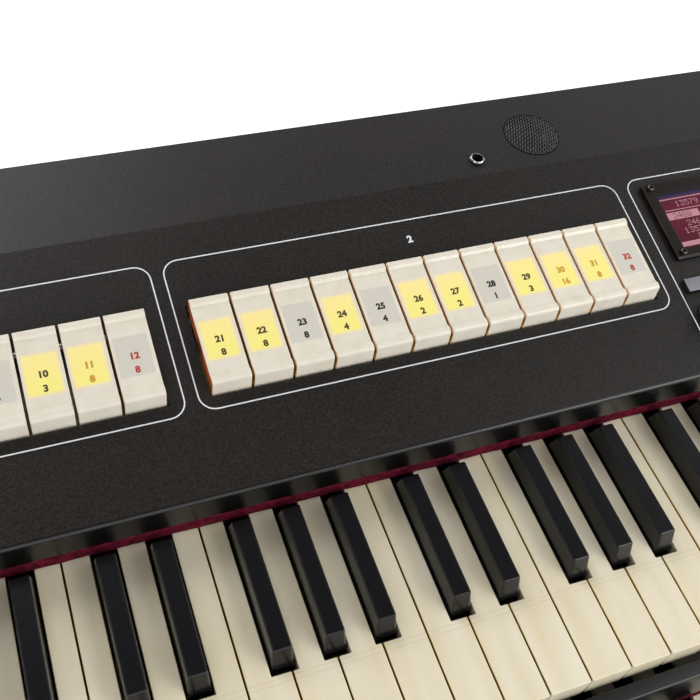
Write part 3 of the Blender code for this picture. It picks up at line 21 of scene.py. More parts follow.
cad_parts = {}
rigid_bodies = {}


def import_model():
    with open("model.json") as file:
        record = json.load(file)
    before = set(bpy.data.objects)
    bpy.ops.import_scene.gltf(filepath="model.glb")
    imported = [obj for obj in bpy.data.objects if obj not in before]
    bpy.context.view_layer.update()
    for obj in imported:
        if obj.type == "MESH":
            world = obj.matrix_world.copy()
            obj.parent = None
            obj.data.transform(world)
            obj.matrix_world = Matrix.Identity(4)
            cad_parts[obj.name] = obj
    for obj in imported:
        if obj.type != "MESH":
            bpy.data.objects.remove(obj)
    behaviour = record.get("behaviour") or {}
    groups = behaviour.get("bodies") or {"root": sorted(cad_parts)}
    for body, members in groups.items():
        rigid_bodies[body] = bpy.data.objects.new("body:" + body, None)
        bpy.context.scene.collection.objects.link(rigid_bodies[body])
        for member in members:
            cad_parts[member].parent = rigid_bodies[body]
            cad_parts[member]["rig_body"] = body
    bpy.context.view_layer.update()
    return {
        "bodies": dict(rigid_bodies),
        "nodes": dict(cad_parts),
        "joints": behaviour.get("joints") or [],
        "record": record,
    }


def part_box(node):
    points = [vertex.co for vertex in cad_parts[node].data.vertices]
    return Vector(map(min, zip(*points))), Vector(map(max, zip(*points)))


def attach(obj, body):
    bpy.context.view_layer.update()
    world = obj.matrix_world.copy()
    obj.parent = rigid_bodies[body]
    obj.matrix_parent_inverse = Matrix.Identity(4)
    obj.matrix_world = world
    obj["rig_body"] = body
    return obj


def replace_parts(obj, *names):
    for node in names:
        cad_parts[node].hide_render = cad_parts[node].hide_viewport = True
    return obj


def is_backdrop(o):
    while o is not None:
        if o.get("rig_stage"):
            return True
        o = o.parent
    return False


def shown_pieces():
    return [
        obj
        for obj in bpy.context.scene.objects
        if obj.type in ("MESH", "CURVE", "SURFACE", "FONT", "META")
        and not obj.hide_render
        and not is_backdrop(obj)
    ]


log = logging.getLogger("organ console")

MM = 0.001
NATURAL_PITCH = 165.0 * MM / 7
NATURAL_COUNT = 36
KEYBOARD_HALF = NATURAL_COUNT * NATURAL_PITCH / 2
FELT_LINES = {"upper": 43.327 * MM, "lower": -104.673 * MM}
KEY_TOPS = {"upper": 134.3 * MM, "lower": 72.3 * MM}
CONSOLE = "console"


def linear(colour: str) -> tuple[float, float, float, float]:
    """Turns an sRGB hex colour into linear RGBA.

    Args:
        colour: Six hex digits after a hash sign.

    Returns:
        Linear red, green and blue, and an alpha of 1.
    """
    parts = [int(colour[i : i + 2], 16) / 255 for i in (1, 3, 5)]
    channels = [c / 12.92 if c <= 0.04045 else ((c + 0.055) / 1.055) ** 2.4 for c in parts]
    return channels[0], channels[1], channels[2], 1.0


def add_node(
    tree: bpy.types.NodeTree, kind: str, inputs: dict[Any, Any] | None = None, **settings: Any
) -> bpy.types.Node:
    """Adds a shader node with its settings, its values and its links.

    Args:
        tree: The material's node tree.
        kind: The node's type name.
        inputs: Socket name or number to a value, or to the socket that feeds it.
        **settings: Attributes of the node.

    Returns:
        The new node.
    """
    node = tree.nodes.new(kind)
    for key, value in settings.items():
        setattr(node, key, value)
    for key, value in (inputs or {}).items():
        if isinstance(value, bpy.types.NodeSocket):
            tree.links.new(value, node.inputs[key])
        else:
            node.inputs[key].default_value = value
    return node


def new_material(name: str) -> tuple[bpy.types.Material, bpy.types.NodeTree, bpy.types.Node]:
    """Starts a material.

    Args:
        name: The finish's name.

    Returns:
        The material, its node tree and its Principled shader.
    """
    made = bpy.data.materials.new(name)
    made.use_nodes = True
    return made, made.node_tree, made.node_tree.nodes["Principled BSDF"]


def ramp(tree: bpy.types.NodeTree, share: Any, stops: Sequence[tuple[float, str]]) -> bpy.types.NodeSocket:
    """Blends colours along a share.

    Args:
        tree: The material's node tree.
        share: The socket that gives the place along the ramp.
        stops: Each colour's place and its sRGB hex value, in order.

    Returns:
        The blended colour's socket.
    """
    node = add_node(tree, "ShaderNodeValToRGB", {"Fac": share})
    elements = node.color_ramp.elements
    elements[0].position, elements[1].position = stops[0][0], stops[-1][0]
    for place, _ in stops[1:-1]:
        elements.new(place)
    for element, (_, colour) in zip(elements, stops):
        element.color = linear(colour)
    return node.outputs["Color"]


@dataclass(frozen=True)
class Finish:
    """A moulded, painted or plated surface: two close colours, a grain and a slow drift of tone.

    speckle is the grain's part in the tone, from 0 for the drift alone to 1 for the grain alone.
    """

    name: str
    colour: str
    second: str
    roughness: float
    metallic: float = 0.0
    grain_mm: float = 0.5
    relief_mm: float = 0.01
    drift_mm: float = 60.0
    speckle: float = 0.5
    specular: float = 0.5
    stretch: tuple[float, float, float] = (1.0, 1.0, 1.0)

    def build(self) -> bpy.types.Material:
        """Makes the material: fine noise for relief, gloss and speckle, slow noise for the drift."""
        made, tree, shader = new_material(self.name)
        place = add_node(tree, "ShaderNodeTexCoord").outputs["Object"]
        place = add_node(tree, "ShaderNodeMapping", {"Vector": place, "Scale": self.stretch}).outputs[0]
        slow, fine = [
            add_node(
                tree, "ShaderNodeTexNoise", {"Vector": place, "Scale": 1 / (size * MM), "Detail": 3.0}
            ).outputs["Fac"]
            for size in (self.drift_mm, self.grain_mm)
        ]
        share = add_node(tree, "ShaderNodeMix", {0: self.speckle, 2: slow, 3: fine}).outputs[0]
        spread = add_node(tree, "ShaderNodeMapRange", {"Value": share, "From Min": 0.34, "From Max": 0.66})
        tone = ramp(tree, spread.outputs[0], ((0.0, self.colour), (1.0, self.second)))
        low, high = max(self.roughness - 0.06, 0.02), min(self.roughness + 0.06, 1.0)
        gloss = add_node(tree, "ShaderNodeMapRange", {"Value": fine, "To Min": low, "To Max": high})
        bump = add_node(
            tree, "ShaderNodeBump", {"Height": fine, "Distance": self.relief_mm * MM, "Strength": 1.0}
        )
        tree.links.new(tone, shader.inputs["Base Color"])
        tree.links.new(gloss.outputs[0], shader.inputs["Roughness"])
        tree.links.new(bump.outputs[0], shader.inputs["Normal"])
        shader.inputs["Metallic"].default_value = self.metallic
        shader.inputs["Specular IOR Level"].default_value = self.specular
        return made


# Powder coat on folded steel: an orange peel, here 1.1 mm wide to show, that speckles a black sheet
POWDER_COAT = Finish(
    "powder_coated_steel", "#080605", "#27221e", 0.43, grain_mm=1.1, relief_mm=0.12, speckle=0.85, specular=0.34
)
# Gloss black lacquer on hardwood: nearly smooth, so that it mirrors the keys
PIANO_LACQUER = Finish(
    "black_lacquer", "#070707", "#0d0c0b", 0.3, grain_mm=4.0, relief_mm=0.001, specular=0.45
)
# Satin black paint on board: a light tooth
SATIN_PAINT = Finish("satin_black_paint", "#161617", "#202021", 0.5, grain_mm=0.8, relief_mm=0.02)
# Moulded black key resin: glossy, so that its rounded edges catch thin highlights
EBONY_RESIN = Finish(
    "black_key_resin", "#08080b", "#0c0c10", 0.22, grain_mm=3.0, relief_mm=0.0002, specular=0.35
)
# Ivory resin of the thumb pistons: a plain satin
IVORY_RESIN = Finish("ivory_button_resin", "#e9dfc6", "#efe6d0", 0.35, grain_mm=1.2, relief_mm=0.002)
# Spun black plastic of the knob, the sockets and the inlet
BLACK_ABS = Finish("black_abs", "#131314", "#1b1b1d", 0.42, grain_mm=0.4, relief_mm=0.01)
# Polycarbonate bezel with a polished face, brown black with a soft mirror, and dull sawn walls whose near-black
# colour is painted shade
BEZEL_GLOSS = Finish(
    "polished_polycarbonate", "#140e0b", "#1d1512", 0.22, grain_mm=3.0, relief_mm=0.0005, specular=0.3
)
BEZEL_WALL_PAINTED_SHADE = Finish("polycarbonate_wall_painted_shade", "#060505", "#0b0908", 0.6, grain_mm=0.6, specular=0.1)
# Painted silver-grey button caps
SILVER_CAP = Finish("silver_paint", "#7f7e84", "#8e8d93", 0.38, metallic=0.25, grain_mm=0.3, relief_mm=0.004)
# Zinc plated steel: bright with a faint blue-grey cloud
ZINC_STEEL = Finish("zinc_plated_steel", "#9da0a4", "#b5b8bb", 0.33, metallic=1.0, grain_mm=0.6, relief_mm=0.004)
# Blackened steel screws: dark metal with small bright glints
DARK_STEEL = Finish("blackened_steel", "#4a4744", "#6c6862", 0.2, metallic=1.0, grain_mm=0.5, relief_mm=0.004)
# Chrome plate of the ring socket: a neutral mirror with a faint cloud
CHROME = Finish("chrome_plate", "#a8a8aa", "#c6c6c8", 0.14, metallic=1.0, grain_mm=0.8, relief_mm=0.002)
# Drawn steel wire of the grilles, blackened and glossy
GRILLE_WIRE = Finish("blackened_steel_wire", "#4c4a49", "#82807d", 0.18, metallic=0.9, grain_mm=0.6, relief_mm=0.004)
# Coated paper of the small loudspeakers' cones
CONE_PAPER = Finish("coated_paper_cone", "#0c0c0d", "#161617", 0.3, grain_mm=0.8, relief_mm=0.01)
# Moulded rubber of the feet
RUBBER = Finish("moulded_rubber", "#111111", "#191919", 0.85, grain_mm=0.5, relief_mm=0.03)
# Bare spruce ply inside the case, grain along X
PLY = Finish("bare_ply", "#b59567", "#a58457", 0.75, grain_mm=0.7, relief_mm=0.02, stretch=(0.06, 1.0, 1.0))
# Solder mask on the circuit board
SOLDER_MASK = Finish("green_solder_mask", "#1d5a35", "#17492b", 0.4, grain_mm=2.0, relief_mm=0.01)
# Silk screened white ink
WHITE_INK = Finish("white_screen_ink", "#dedfe4", "#e8e9ed", 0.5, grain_mm=0.3, relief_mm=0.002)


def felt_finish() -> bpy.types.Material:
    """Pressed wool felt: a rough crimson nap of short fibres, painted darker in its hollows as shade.

    Returns:
        The material, from two noises: fibres, longer along X and tilted, and a slow mottle.
    """
    made, tree, shader = new_material("crimson_wool_felt")
    place = add_node(tree, "ShaderNodeTexCoord").outputs["Object"]
    tilted = add_node(
        tree, "ShaderNodeMapping", {"Vector": place, "Scale": (0.4, 1.0, 1.0), "Rotation": (0, 0.5, 0.3)}
    ).outputs[0]
    fine = add_node(
        tree, "ShaderNodeTexNoise", {"Vector": tilted, "Scale": 1800.0, "Detail": 4.0, "Distortion": 0.6}
    ).outputs["Fac"]
    slow = add_node(tree, "ShaderNodeTexNoise", {"Vector": place, "Scale": 220.0}).outputs["Fac"]
    share = add_node(tree, "ShaderNodeMix", {0: 0.35, 2: fine, 3: slow}).outputs[0]
    # The fine noise also sets the bump below, so the ramp's dark end is painted shade in the nap's hollows.
    tone = ramp(tree, share, ((0.38, "#28030c"), (0.64, "#741830")))
    bump = add_node(tree, "ShaderNodeBump", {"Height": fine, "Distance": 0.35 * MM, "Strength": 0.8})
    tree.links.new(tone, shader.inputs["Base Color"])
    tree.links.new(bump.outputs[0], shader.inputs["Normal"])
    shader.inputs["Roughness"].default_value = 1.0
    shader.inputs["Specular IOR Level"].default_value = 0.1
    return made


def key_finish() -> bpy.types.Material:
    """Polished ivory resin of the naturals: warm streaks along the key, partly the resin's own grain and partly a
    painted reflection of warm light, and two faint lines across it.

    Returns:
        The material; the UV map key_mm holds millimetres in the manual's frame, where the lines lie.
    """
    made, tree, shader = new_material("ivory_key_resin")
    place = add_node(tree, "ShaderNodeTexCoord").outputs["Object"]
    flow = add_node(tree, "ShaderNodeMapping", {"Vector": place, "Scale": (1.0, 0.16, 1.0)}).outputs[0]
    streak = add_node(tree, "ShaderNodeTexNoise", {"Vector": flow, "Scale": 90.0}).outputs["Fac"]
    # The streaks are partly grain and partly a painted soft warm reflection along the keys.
    tone = ramp(tree, streak, ((0.3, "#ebe2cb"), (0.75, "#e2d5b4")))
    uv = add_node(tree, "ShaderNodeUVMap", uv_map="key_mm").outputs[0]
    along = add_node(tree, "ShaderNodeSeparateXYZ", {0: uv}).outputs["Y"]
    for where in (-88.3, -90.9):
        off = add_node(tree, "ShaderNodeMath", {0: along, 1: where}, operation="SUBTRACT").outputs[0]
        off = add_node(tree, "ShaderNodeMath", {0: off}, operation="ABSOLUTE").outputs[0]
        share = add_node(
            tree, "ShaderNodeMapRange", {"Value": off, "From Max": 0.25, "To Min": 0.6, "To Max": 0.0}
        ).outputs[0]
        tone = add_node(
            tree, "ShaderNodeMix", {0: share, 6: tone, 7: linear("#c9b88f")}, data_type="RGBA"
        ).outputs[2]
    tree.links.new(tone, shader.inputs["Base Color"])
    shader.inputs["Roughness"].default_value = 0.28
    return made


def key_flank_finish() -> bpy.types.Material:
    """The naturals' flanks: bare ivory resin, painted pale gold at the top for light that shines through it, and
    painted shade, dark olive, down between two keys.

    Returns:
        The material; the attribute height_mm holds a point's height from the key's top.
    """
    made, tree, shader = new_material("ivory_resin_flank_painted_glow_and_shade")
    height = add_node(tree, "ShaderNodeAttribute", attribute_name="height_mm").outputs["Fac"]
    down = add_node(tree, "ShaderNodeMapRange", {"Value": height, "From Min": -0.25, "From Max": -1.6}).outputs[0]
    place = add_node(tree, "ShaderNodeTexCoord").outputs["Object"]
    cloud = add_node(tree, "ShaderNodeTexNoise", {"Vector": place, "Scale": 60.0}).outputs["Fac"]
    # Painted light: the gold that light shining through the resin gives the flanks.
    pale = ramp(tree, cloud, ((0.4, "#f0e0a8"), (0.6, "#e0c078")))
    # Painted shade: white at the top, darkening down the gap between two keys.
    dark = ramp(tree, down, ((0.0, "#ffffff"), (0.5, "#b89c64"), (1.0, "#5e4c26")))
    tone = add_node(tree, "ShaderNodeMix", {0: 1.0, 6: pale, 7: dark}, data_type="RGBA", blend_type="MULTIPLY")
    tree.links.new(tone.outputs[2], shader.inputs["Base Color"])
    shader.inputs["Roughness"].default_value = 0.5
    return made


@dataclass(frozen=True)
class TabResin:
    """Ivory resin of the tabs with a window: the UV map tab_mm holds millimetres on the tab, and the
    attribute lit says which windows glow."""

    pane: tuple[tuple[float, float], tuple[float, float]] = ((1.5, 19.6), (71.5, 95.3))
    crisp_mm: float = 0.9
    soft_mm: float = 3.0
    glow: float = 0.12

    def _window(self, tree: Any, uv: Any, soft: float) -> bpy.types.NodeSocket:
        """The pane's share, half of which is gained at its edges over a soft band."""
        share = None
        for axis, edges in zip(("X", "Y"), self.pane):
            for edge, outward in zip(edges, (-1, 1)):
                reach = outward * soft / 2
                side = add_node(
                    tree,
                    "ShaderNodeMapRange",
                    {"Value": uv.outputs[axis], "From Min": edge + reach, "From Max": edge - reach},
                    interpolation_type="SMOOTHSTEP",
                ).outputs[0]
                if share is not None:
                    side = add_node(tree, "ShaderNodeMath", {0: share, 1: side}, operation="MULTIPLY").outputs[0]
                share = side
        return share

    def build(self) -> bpy.types.Material:
        """Makes the material: resin, a greyer window, and its yellow glow where the tab is lit."""
        made, tree, shader = new_material("tab_resin")
        place = add_node(tree, "ShaderNodeTexCoord").outputs["Object"]
        grain = add_node(tree, "ShaderNodeTexNoise", {"Vector": place, "Scale": 120.0, "Detail": 3.0})
        body = ramp(tree, grain.outputs["Fac"], ((0.35, "#e7e0d0"), (0.7, "#e0d8c6")))
        uv = add_node(tree, "ShaderNodeUVMap", uv_map="tab_mm").outputs[0]
        uv = add_node(tree, "ShaderNodeSeparateXYZ", {0: uv})
        lit = add_node(tree, "ShaderNodeAttribute", attribute_name="lit").outputs["Fac"]
        pane = self._window(tree, uv, self.crisp_mm)
        light = self._window(tree, uv, self.soft_mm)
        light = add_node(tree, "ShaderNodeMath", {0: light, 1: lit}, operation="MULTIPLY").outputs[0]
        low, high = self.pane[1]
        rise = add_node(
            tree, "ShaderNodeMapRange", {"Value": uv.outputs["Y"], "From Min": low, "From Max": high}
        ).outputs[0]
        yellow = ramp(tree, rise, ((0.3, "#ede288"), (1.0, "#f2df9c")))
        peach = linear("#f4d8a8")
        yellow = add_node(tree, "ShaderNodeMix", {0: light, 6: peach, 7: yellow}, data_type="RGBA").outputs[2]
        grey = linear("#d4cfc2")
        unlit = add_node(tree, "ShaderNodeMath", {0: 1.0, 1: lit}, operation="SUBTRACT").outputs[0]
        pane = add_node(tree, "ShaderNodeMath", {0: pane, 1: unlit}, operation="MULTIPLY").outputs[0]
        plain = add_node(tree, "ShaderNodeMix", {0: pane, 6: body, 7: grey}, data_type="RGBA").outputs[2]
        base = add_node(tree, "ShaderNodeMix", {0: light, 6: plain, 7: yellow}, data_type="RGBA").outputs[2]
        strength = add_node(tree, "ShaderNodeMath", {0: light, 1: self.glow}, operation="MULTIPLY").outputs[0]
        tree.links.new(base, shader.inputs["Base Color"])
        shader.inputs["Emission Color"].default_value = linear("#ffe95c")
        tree.links.new(strength, shader.inputs["Emission Strength"])
        shader.inputs["Roughness"].default_value = 0.28
        return made


def flank_finish() -> bpy.types.Material:
    """The tabs' translucent flanks: cream at the top, with painted shade that darkens them down between two tabs; a
    patchy red painted glow, with a painted peach highlight along its top, on the flank that stands free at a row's
    left end; and lit amber at the front foot from below, painted as a glow.

    Returns:
        The material; the attribute free holds 1 on a free flank. How far down a point lies is its
        height along the panel's normal.
    """
    made, tree, shader = new_material("tab_resin_flank_painted_shade_and_glow")
    place = add_node(tree, "ShaderNodeTexCoord").outputs["Object"]
    cloud = add_node(tree, "ShaderNodeTexNoise", {"Vector": place, "Scale": 110.0, "Detail": 4.0}).outputs["Fac"]
    normal = PANEL.points(0.0, 0.0, 1.0) - PANEL.points(0.0, 0.0, 0.0)
    height = {0: place, 1: normal}
    height = add_node(tree, "ShaderNodeVectorMath", height, operation="DOT_PRODUCT").outputs["Value"]
    start, end = [float(PANEL.points(0.0, 0.0, h * MM) @ normal) for h in (7.9, 4.4)]
    down = add_node(tree, "ShaderNodeMapRange", {"Value": height, "From Min": start, "From Max": end}).outputs[0]
    # Painted shade: cream at the top, tan and brown down the gap between two tabs.
    warm = ramp(tree, down, ((0.0, "#f6dcbc"), (0.4, "#e8c49c"), (0.75, "#946c40"), (1.0, "#5a3a1a")))
    # Painted glow: patchy red light in the free flank.
    red = ramp(tree, cloud, ((0.4, "#4a140a"), (0.6, "#b04a24")))
    # Painted highlight: peach along the free flank's top.
    edge = add_node(tree, "ShaderNodeMapRange", {"Value": down, "From Max": 0.4}).outputs[0]
    red = add_node(tree, "ShaderNodeMix", {0: edge, 6: linear("#e8a890"), 7: red}, data_type="RGBA").outputs[2]
    free = add_node(tree, "ShaderNodeAttribute", attribute_name="free").outputs["Fac"]
    tone = add_node(tree, "ShaderNodeMix", {0: free, 6: warm, 7: red}, data_type="RGBA").outputs[2]
    uv = add_node(tree, "ShaderNodeUVMap", uv_map="tab_mm").outputs[0]
    along = add_node(tree, "ShaderNodeSeparateXYZ", {0: uv}).outputs["Y"]
    # Painted glow: amber light at the front foot, as emission.
    rise = {"Value": along, "From Min": 56.0, "From Max": 58.5, "To Min": 0.35, "To Max": 0.02}
    strength = add_node(tree, "ShaderNodeMapRange", rise)
    tree.links.new(tone, shader.inputs["Base Color"])
    shader.inputs["Emission Color"].default_value = linear("#ffb040")
    tree.links.new(strength.outputs[0], shader.inputs["Emission Strength"])
    shader.inputs["Roughness"].default_value = 0.5
    return made


def glow_finish(name: str, colours: tuple[str, str], strength: float = 0.85) -> bpy.types.Material:
    """A screen's cells: dark glass that gives its own light.

    Args:
        name: The finish's name.
        colours: Two close sRGB hex colours of the light.
        strength: The light's strength, where 1 shows the colour as written.

    Returns:
        The material, with a grain of 0.4 mm between its two colours.
    """
    made, tree, shader = new_material(name)
    place = add_node(tree, "ShaderNodeTexCoord").outputs["Object"]
    grain = add_node(tree, "ShaderNodeTexNoise", {"Vector": place, "Scale": 2500.0}).outputs["Fac"]
    tone = ramp(tree, grain, ((0.3, colours[0]), (0.7, colours[1])))
    shader.inputs["Base Color"].default_value = (0.02, 0.02, 0.02, 1.0)
    tree.links.new(tone, shader.inputs["Emission Color"])
    shader.inputs["Emission Strength"].default_value = strength
    shader.inputs["Roughness"].default_value = 0.3
    return made


def screen_finish(near: float, far: float) -> bpy.types.Material:
    """The screen's glass: a maroon backlight that turns violet and goes dark above the image.

    Args:
        near: The glass's front edge in the panel's frame.
        far: Its rear edge.

    Returns:
        The material; the UV map screen_mm holds the place up the panel in millimetres.
    """
    made, tree, shader = new_material("backlit_screen_glass")
    uv = add_node(tree, "ShaderNodeUVMap", uv_map="screen_mm").outputs[0]
    along = add_node(tree, "ShaderNodeSeparateXYZ", {0: uv}).outputs["Y"]
    span = {"Value": along, "From Min": near / MM, "From Max": far / MM}
    share = add_node(tree, "ShaderNodeMapRange", span).outputs[0]
    stops = ((0.0, "#561424"), (0.7, "#681a30"), (0.89, "#5c1a32"), (0.92, "#482a52"), (0.96, "#282448"), (1.0, "#0e0c14"))
    tone = ramp(tree, share, stops)
    shader.inputs["Base Color"].default_value = (0.002, 0.002, 0.002, 1.0)
    shader.inputs["Specular IOR Level"].default_value = 0.3
    tree.links.new(tone, shader.inputs["Emission Color"])
    shader.inputs["Emission Strength"].default_value = 0.85
    shader.inputs["Roughness"].default_value = 0.15
    return made


@dataclass(frozen=True)
class Plane:
    """A sloped plane of the console: its front edge at x = 0, and its slope in radians."""

    y: float
    z: float
    slope: float

    def matrix(self, x: float = 0.0, s: float = 0.0, h: float = 0.0) -> Matrix:
        """The plane's frame, moved to a place on it, as a matrix."""
        turn = Matrix.Translation((0, self.y, self.z)) @ Matrix.Rotation(self.slope, 4, "X")
        return turn @ Matrix.Translation((x, s, h))

    def points(self, x: Any, s: Any, h: Any) -> np.ndarray:
        """Console points of plane points: y and z turn by the slope about the front edge.

        Args:
            x: Places along the console.
            s: Places up the slope.
            h: Heights out of the plane.

        Returns:
            The points, with a last axis of three.
        """
        x, s, h = np.broadcast_arrays(x, s, h)
        cos, sin = math.cos(self.slope), math.sin(self.slope)
        return np.stack([x, self.y + s * cos - h * sin, self.z + s * sin + h * cos], axis=-1)


PANEL = Plane(42.327 * MM, 163.3 * MM, math.radians(10.58))
PANEL_LENGTH = 163.1 * MM
DECK = Plane(
    PANEL.y + PANEL_LENGTH * math.cos(PANEL.slope),
    PANEL.z + PANEL_LENGTH * math.sin(PANEL.slope),
    math.radians(3.0),
)


def rounded(
    corners: Sequence[tuple[float, float]], radii: float | Sequence[float], inset: float = 0.0, steps: int = 3
) -> np.ndarray:
    """Points of a closed outline whose corners are arcs, moved inwards by an inset.

    Both edges of a corner move in and meet again, and an arc that touches both takes the place of
    the corner. Its radius is less by the inset at an outward corner and more at an inward one.

    Args:
        corners: The outline's corners, counterclockwise.
        radii: The corners' radii before the inset.
        inset: How far inside the outline the points lie.
        steps: The number of straight pieces in an arc.

    Returns:
        An array of points by two.
    """
    corner = np.asarray(corners, float)
    after = np.roll(corner, -1, axis=0) - corner
    after /= np.linalg.norm(after, axis=1)[:, None]
    before = np.roll(after, 1, axis=0)
    inward = np.stack([-after[:, 1], after[:, 0]], 1)
    inward_before = np.roll(inward, 1, axis=0)
    agree = 1 + np.sum(inward * inward_before, axis=1)
    moved = corner + inset * (inward + inward_before) / agree[:, None]
    cross = before[:, 0] * after[:, 1] - before[:, 1] * after[:, 0]
    turn = np.arctan2(cross, np.sum(before * after, axis=1))
    side = np.sign(turn)
    radius = np.maximum(np.broadcast_to(radii, len(corner)) - side * inset, 0.02 * MM)
    start = moved - before * (radius * np.tan(np.abs(turn) / 2))[:, None]
    centre = start + inward_before * (side * radius)[:, None]
    outward = -side[:, None] * inward_before
    first = np.arctan2(outward[:, 1], outward[:, 0])
    angle = first[:, None] + turn[:, None] * np.linspace(0, 1, steps + 1)
    arcs = centre[:, None] + radius[:, None, None] * np.stack([np.cos(angle), np.sin(angle)], -1)
    return arcs.reshape(-1, 2)


def rectangle(left: float, right: float, near: float, far: float) -> list[tuple[float, float]]:
    """The corners of a rectangle, counterclockwise from its near left corner."""
    return [(left, near), (right, near), (right, far), (left, far)]


def edge_levels(radius: float, top: float, steps: int = 3) -> list[tuple[float, float]]:
    """Insets and heights round a quarter circle, from the wall to the flat top."""
    angle = np.linspace(0, math.pi / 2, steps + 1)
    return list(zip(radius * (1 - np.cos(angle)), top - radius + radius * np.sin(angle)))


def stacked(outlines: Iterable[tuple[np.ndarray, Any]]) -> np.ndarray:
    """Rings of points from flat outlines and their heights."""
    return np.stack([np.column_stack([flat, np.full(len(flat), height)]) for flat, height in outlines])


def loft_faces(rows: int, columns: int, tube: bool = False) -> list[list[int]]:
    """Faces of a solid made of rings of points.

    Args:
        rows: The number of rings.
        columns: The number of points in a ring.
        tube: True joins the last ring to the first, False closes each with a flat end.

    Returns:
        Point numbers of each face: the quads ring by ring, then what closes the solid.
    """
    row = np.arange(rows if tube else rows - 1)[:, None] * columns
    above = (row + columns) % (rows * columns)
    column = np.arange(columns)[None, :]
    after = (column + 1) % columns
    corners = np.broadcast_arrays(row + column, row + after, above + after, above + column)
    faces = np.stack(corners, axis=-1).reshape(-1, 4).tolist()
    if not tube:
        faces += [list(range(columns)), list(range((rows - 1) * columns, rows * columns))]
    return faces


def make_object(
    name: str,
    points: np.ndarray,
    faces: Iterable[Sequence[int]],
    finishes: Sequence[bpy.types.Material],
    smooth: float = 35.0,
    picks: Sequence[int] | None = None,
) -> bpy.types.Object:
    """Puts points and faces into an object whose place is in its mesh.

    Args:
        name: The piece's name.
        points: Points with a last axis of three.
        faces: Point numbers of each face.
        finishes: The piece's materials.
        smooth: Edges flatter than this many degrees are shaded smooth.
        picks: The number of each face's material, the first for all where it is left out.

    Returns:
        The object, with its faces turned outwards.
    """
    mesh = bpy.data.meshes.new(name)
    mesh.from_pydata(points.reshape(-1, 3).tolist(), [], list(faces))
    work = bmesh.new()
    work.from_mesh(mesh)
    bmesh.ops.recalc_face_normals(work, faces=work.faces)
    work.to_mesh(mesh)
    work.free()
    mesh.shade_smooth()
    mesh.set_sharp_from_angle(angle=math.radians(smooth))
    for finish in finishes:
        mesh.materials.append(finish)
    if picks is not None:
        mesh.polygons.foreach_set("material_index", np.asarray(picks, np.int32))
    made = bpy.data.objects.new(name, mesh)
    bpy.context.scene.collection.objects.link(made)
    weighted = made.modifiers.new("flat faces stay flat", "WEIGHTED_NORMAL")
    weighted.keep_sharp = True
    weighted.weight = 85
    return made


def add_map(piece: bpy.types.Object, name: str, places: np.ndarray) -> None:
    """Gives a piece a UV map from one place for each point.

    Args:
        piece: The piece.
        name: The map's name.
        places: Points by two.
    """
    mesh = piece.data
    loops = np.zeros(len(mesh.loops), np.int32)
    mesh.loops.foreach_get("vertex_index", loops)
    layer = mesh.uv_layers.new(name=name)
    layer.data.foreach_set("uv", places[loops].astype(np.float32).ravel())


def add_values(piece: bpy.types.Object, name: str, values: np.ndarray) -> None:
    """Gives a piece an attribute from one value for each point."""
    attribute = piece.data.attributes.new(name, "FLOAT", "POINT")
    attribute.data.foreach_set("value", values.astype(np.float32))


@dataclass
class Shell:
    """The solids of one piece, gathered before they become a mesh."""

    points: list[np.ndarray] = field(default_factory=list)
    faces: list[list[int]] = field(default_factory=list)
    picks: list[int] = field(default_factory=list)
    count: int = 0

    def add(self, points: np.ndarray, faces: Iterable[Sequence[int]], picks: int | Sequence[int] = 0) -> None:
        """Adds a solid.

        Args:
            points: Its points, with a last axis of three.
            faces: Point numbers of each face.
            picks: The number of the solid's material, or of each face's.
        """
        flat = points.reshape(-1, 3)
        moved = [[self.count + corner for corner in face] for face in faces]
        self.points.append(flat)
        self.faces += moved
        self.picks += [picks] * len(moved) if isinstance(picks, int) else list(picks)
        self.count += len(flat)

    def loft(self, rings: np.ndarray, tube: bool = False, pick: int = 0) -> None:
        """Adds a solid made of rings, an array of rings by points by three, in one material."""
        self.add(rings, loft_faces(*rings.shape[:2], tube), pick)

    def build(
        self, name: str, finishes: Sequence[bpy.types.Material], body: str = CONSOLE, smooth: float = 35.0
    ) -> bpy.types.Object:
        """Makes the piece and puts it on its body.

        Args:
            name: The piece's name.
            finishes: Its materials.
            body: The body that it moves with.
            smooth: Edges flatter than this many degrees are shaded smooth.

        Returns:
            The piece.
        """
        made = make_object(name, np.concatenate(self.points), self.faces, finishes, smooth, self.picks)
        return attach(made, body)


def placed(points: np.ndarray, frame: Matrix) -> np.ndarray:
    """Points carried into another frame by its matrix."""
    turn = np.array(frame)
    return points @ turn[:3, :3].T + turn[:3, 3]


def turned(profile: Sequence[tuple[float, float]], segments: int, frame: Matrix) -> np.ndarray:
    """Rings of a turned shape: each (radius, height) point carried round the frame's Z axis.

    Args:
        profile: Radii and heights in millimetres, no radius being 0.
        segments: The number of points in a ring.
        frame: Where the shape stands.

    Returns:
        An array of rings by points by three.
    """
    angle = np.linspace(0, 2 * math.pi, segments, endpoint=False)
    circle = np.stack([np.cos(angle), np.sin(angle)], 1) * MM
    return placed(stacked((circle * radius, height * MM) for radius, height in profile), frame)


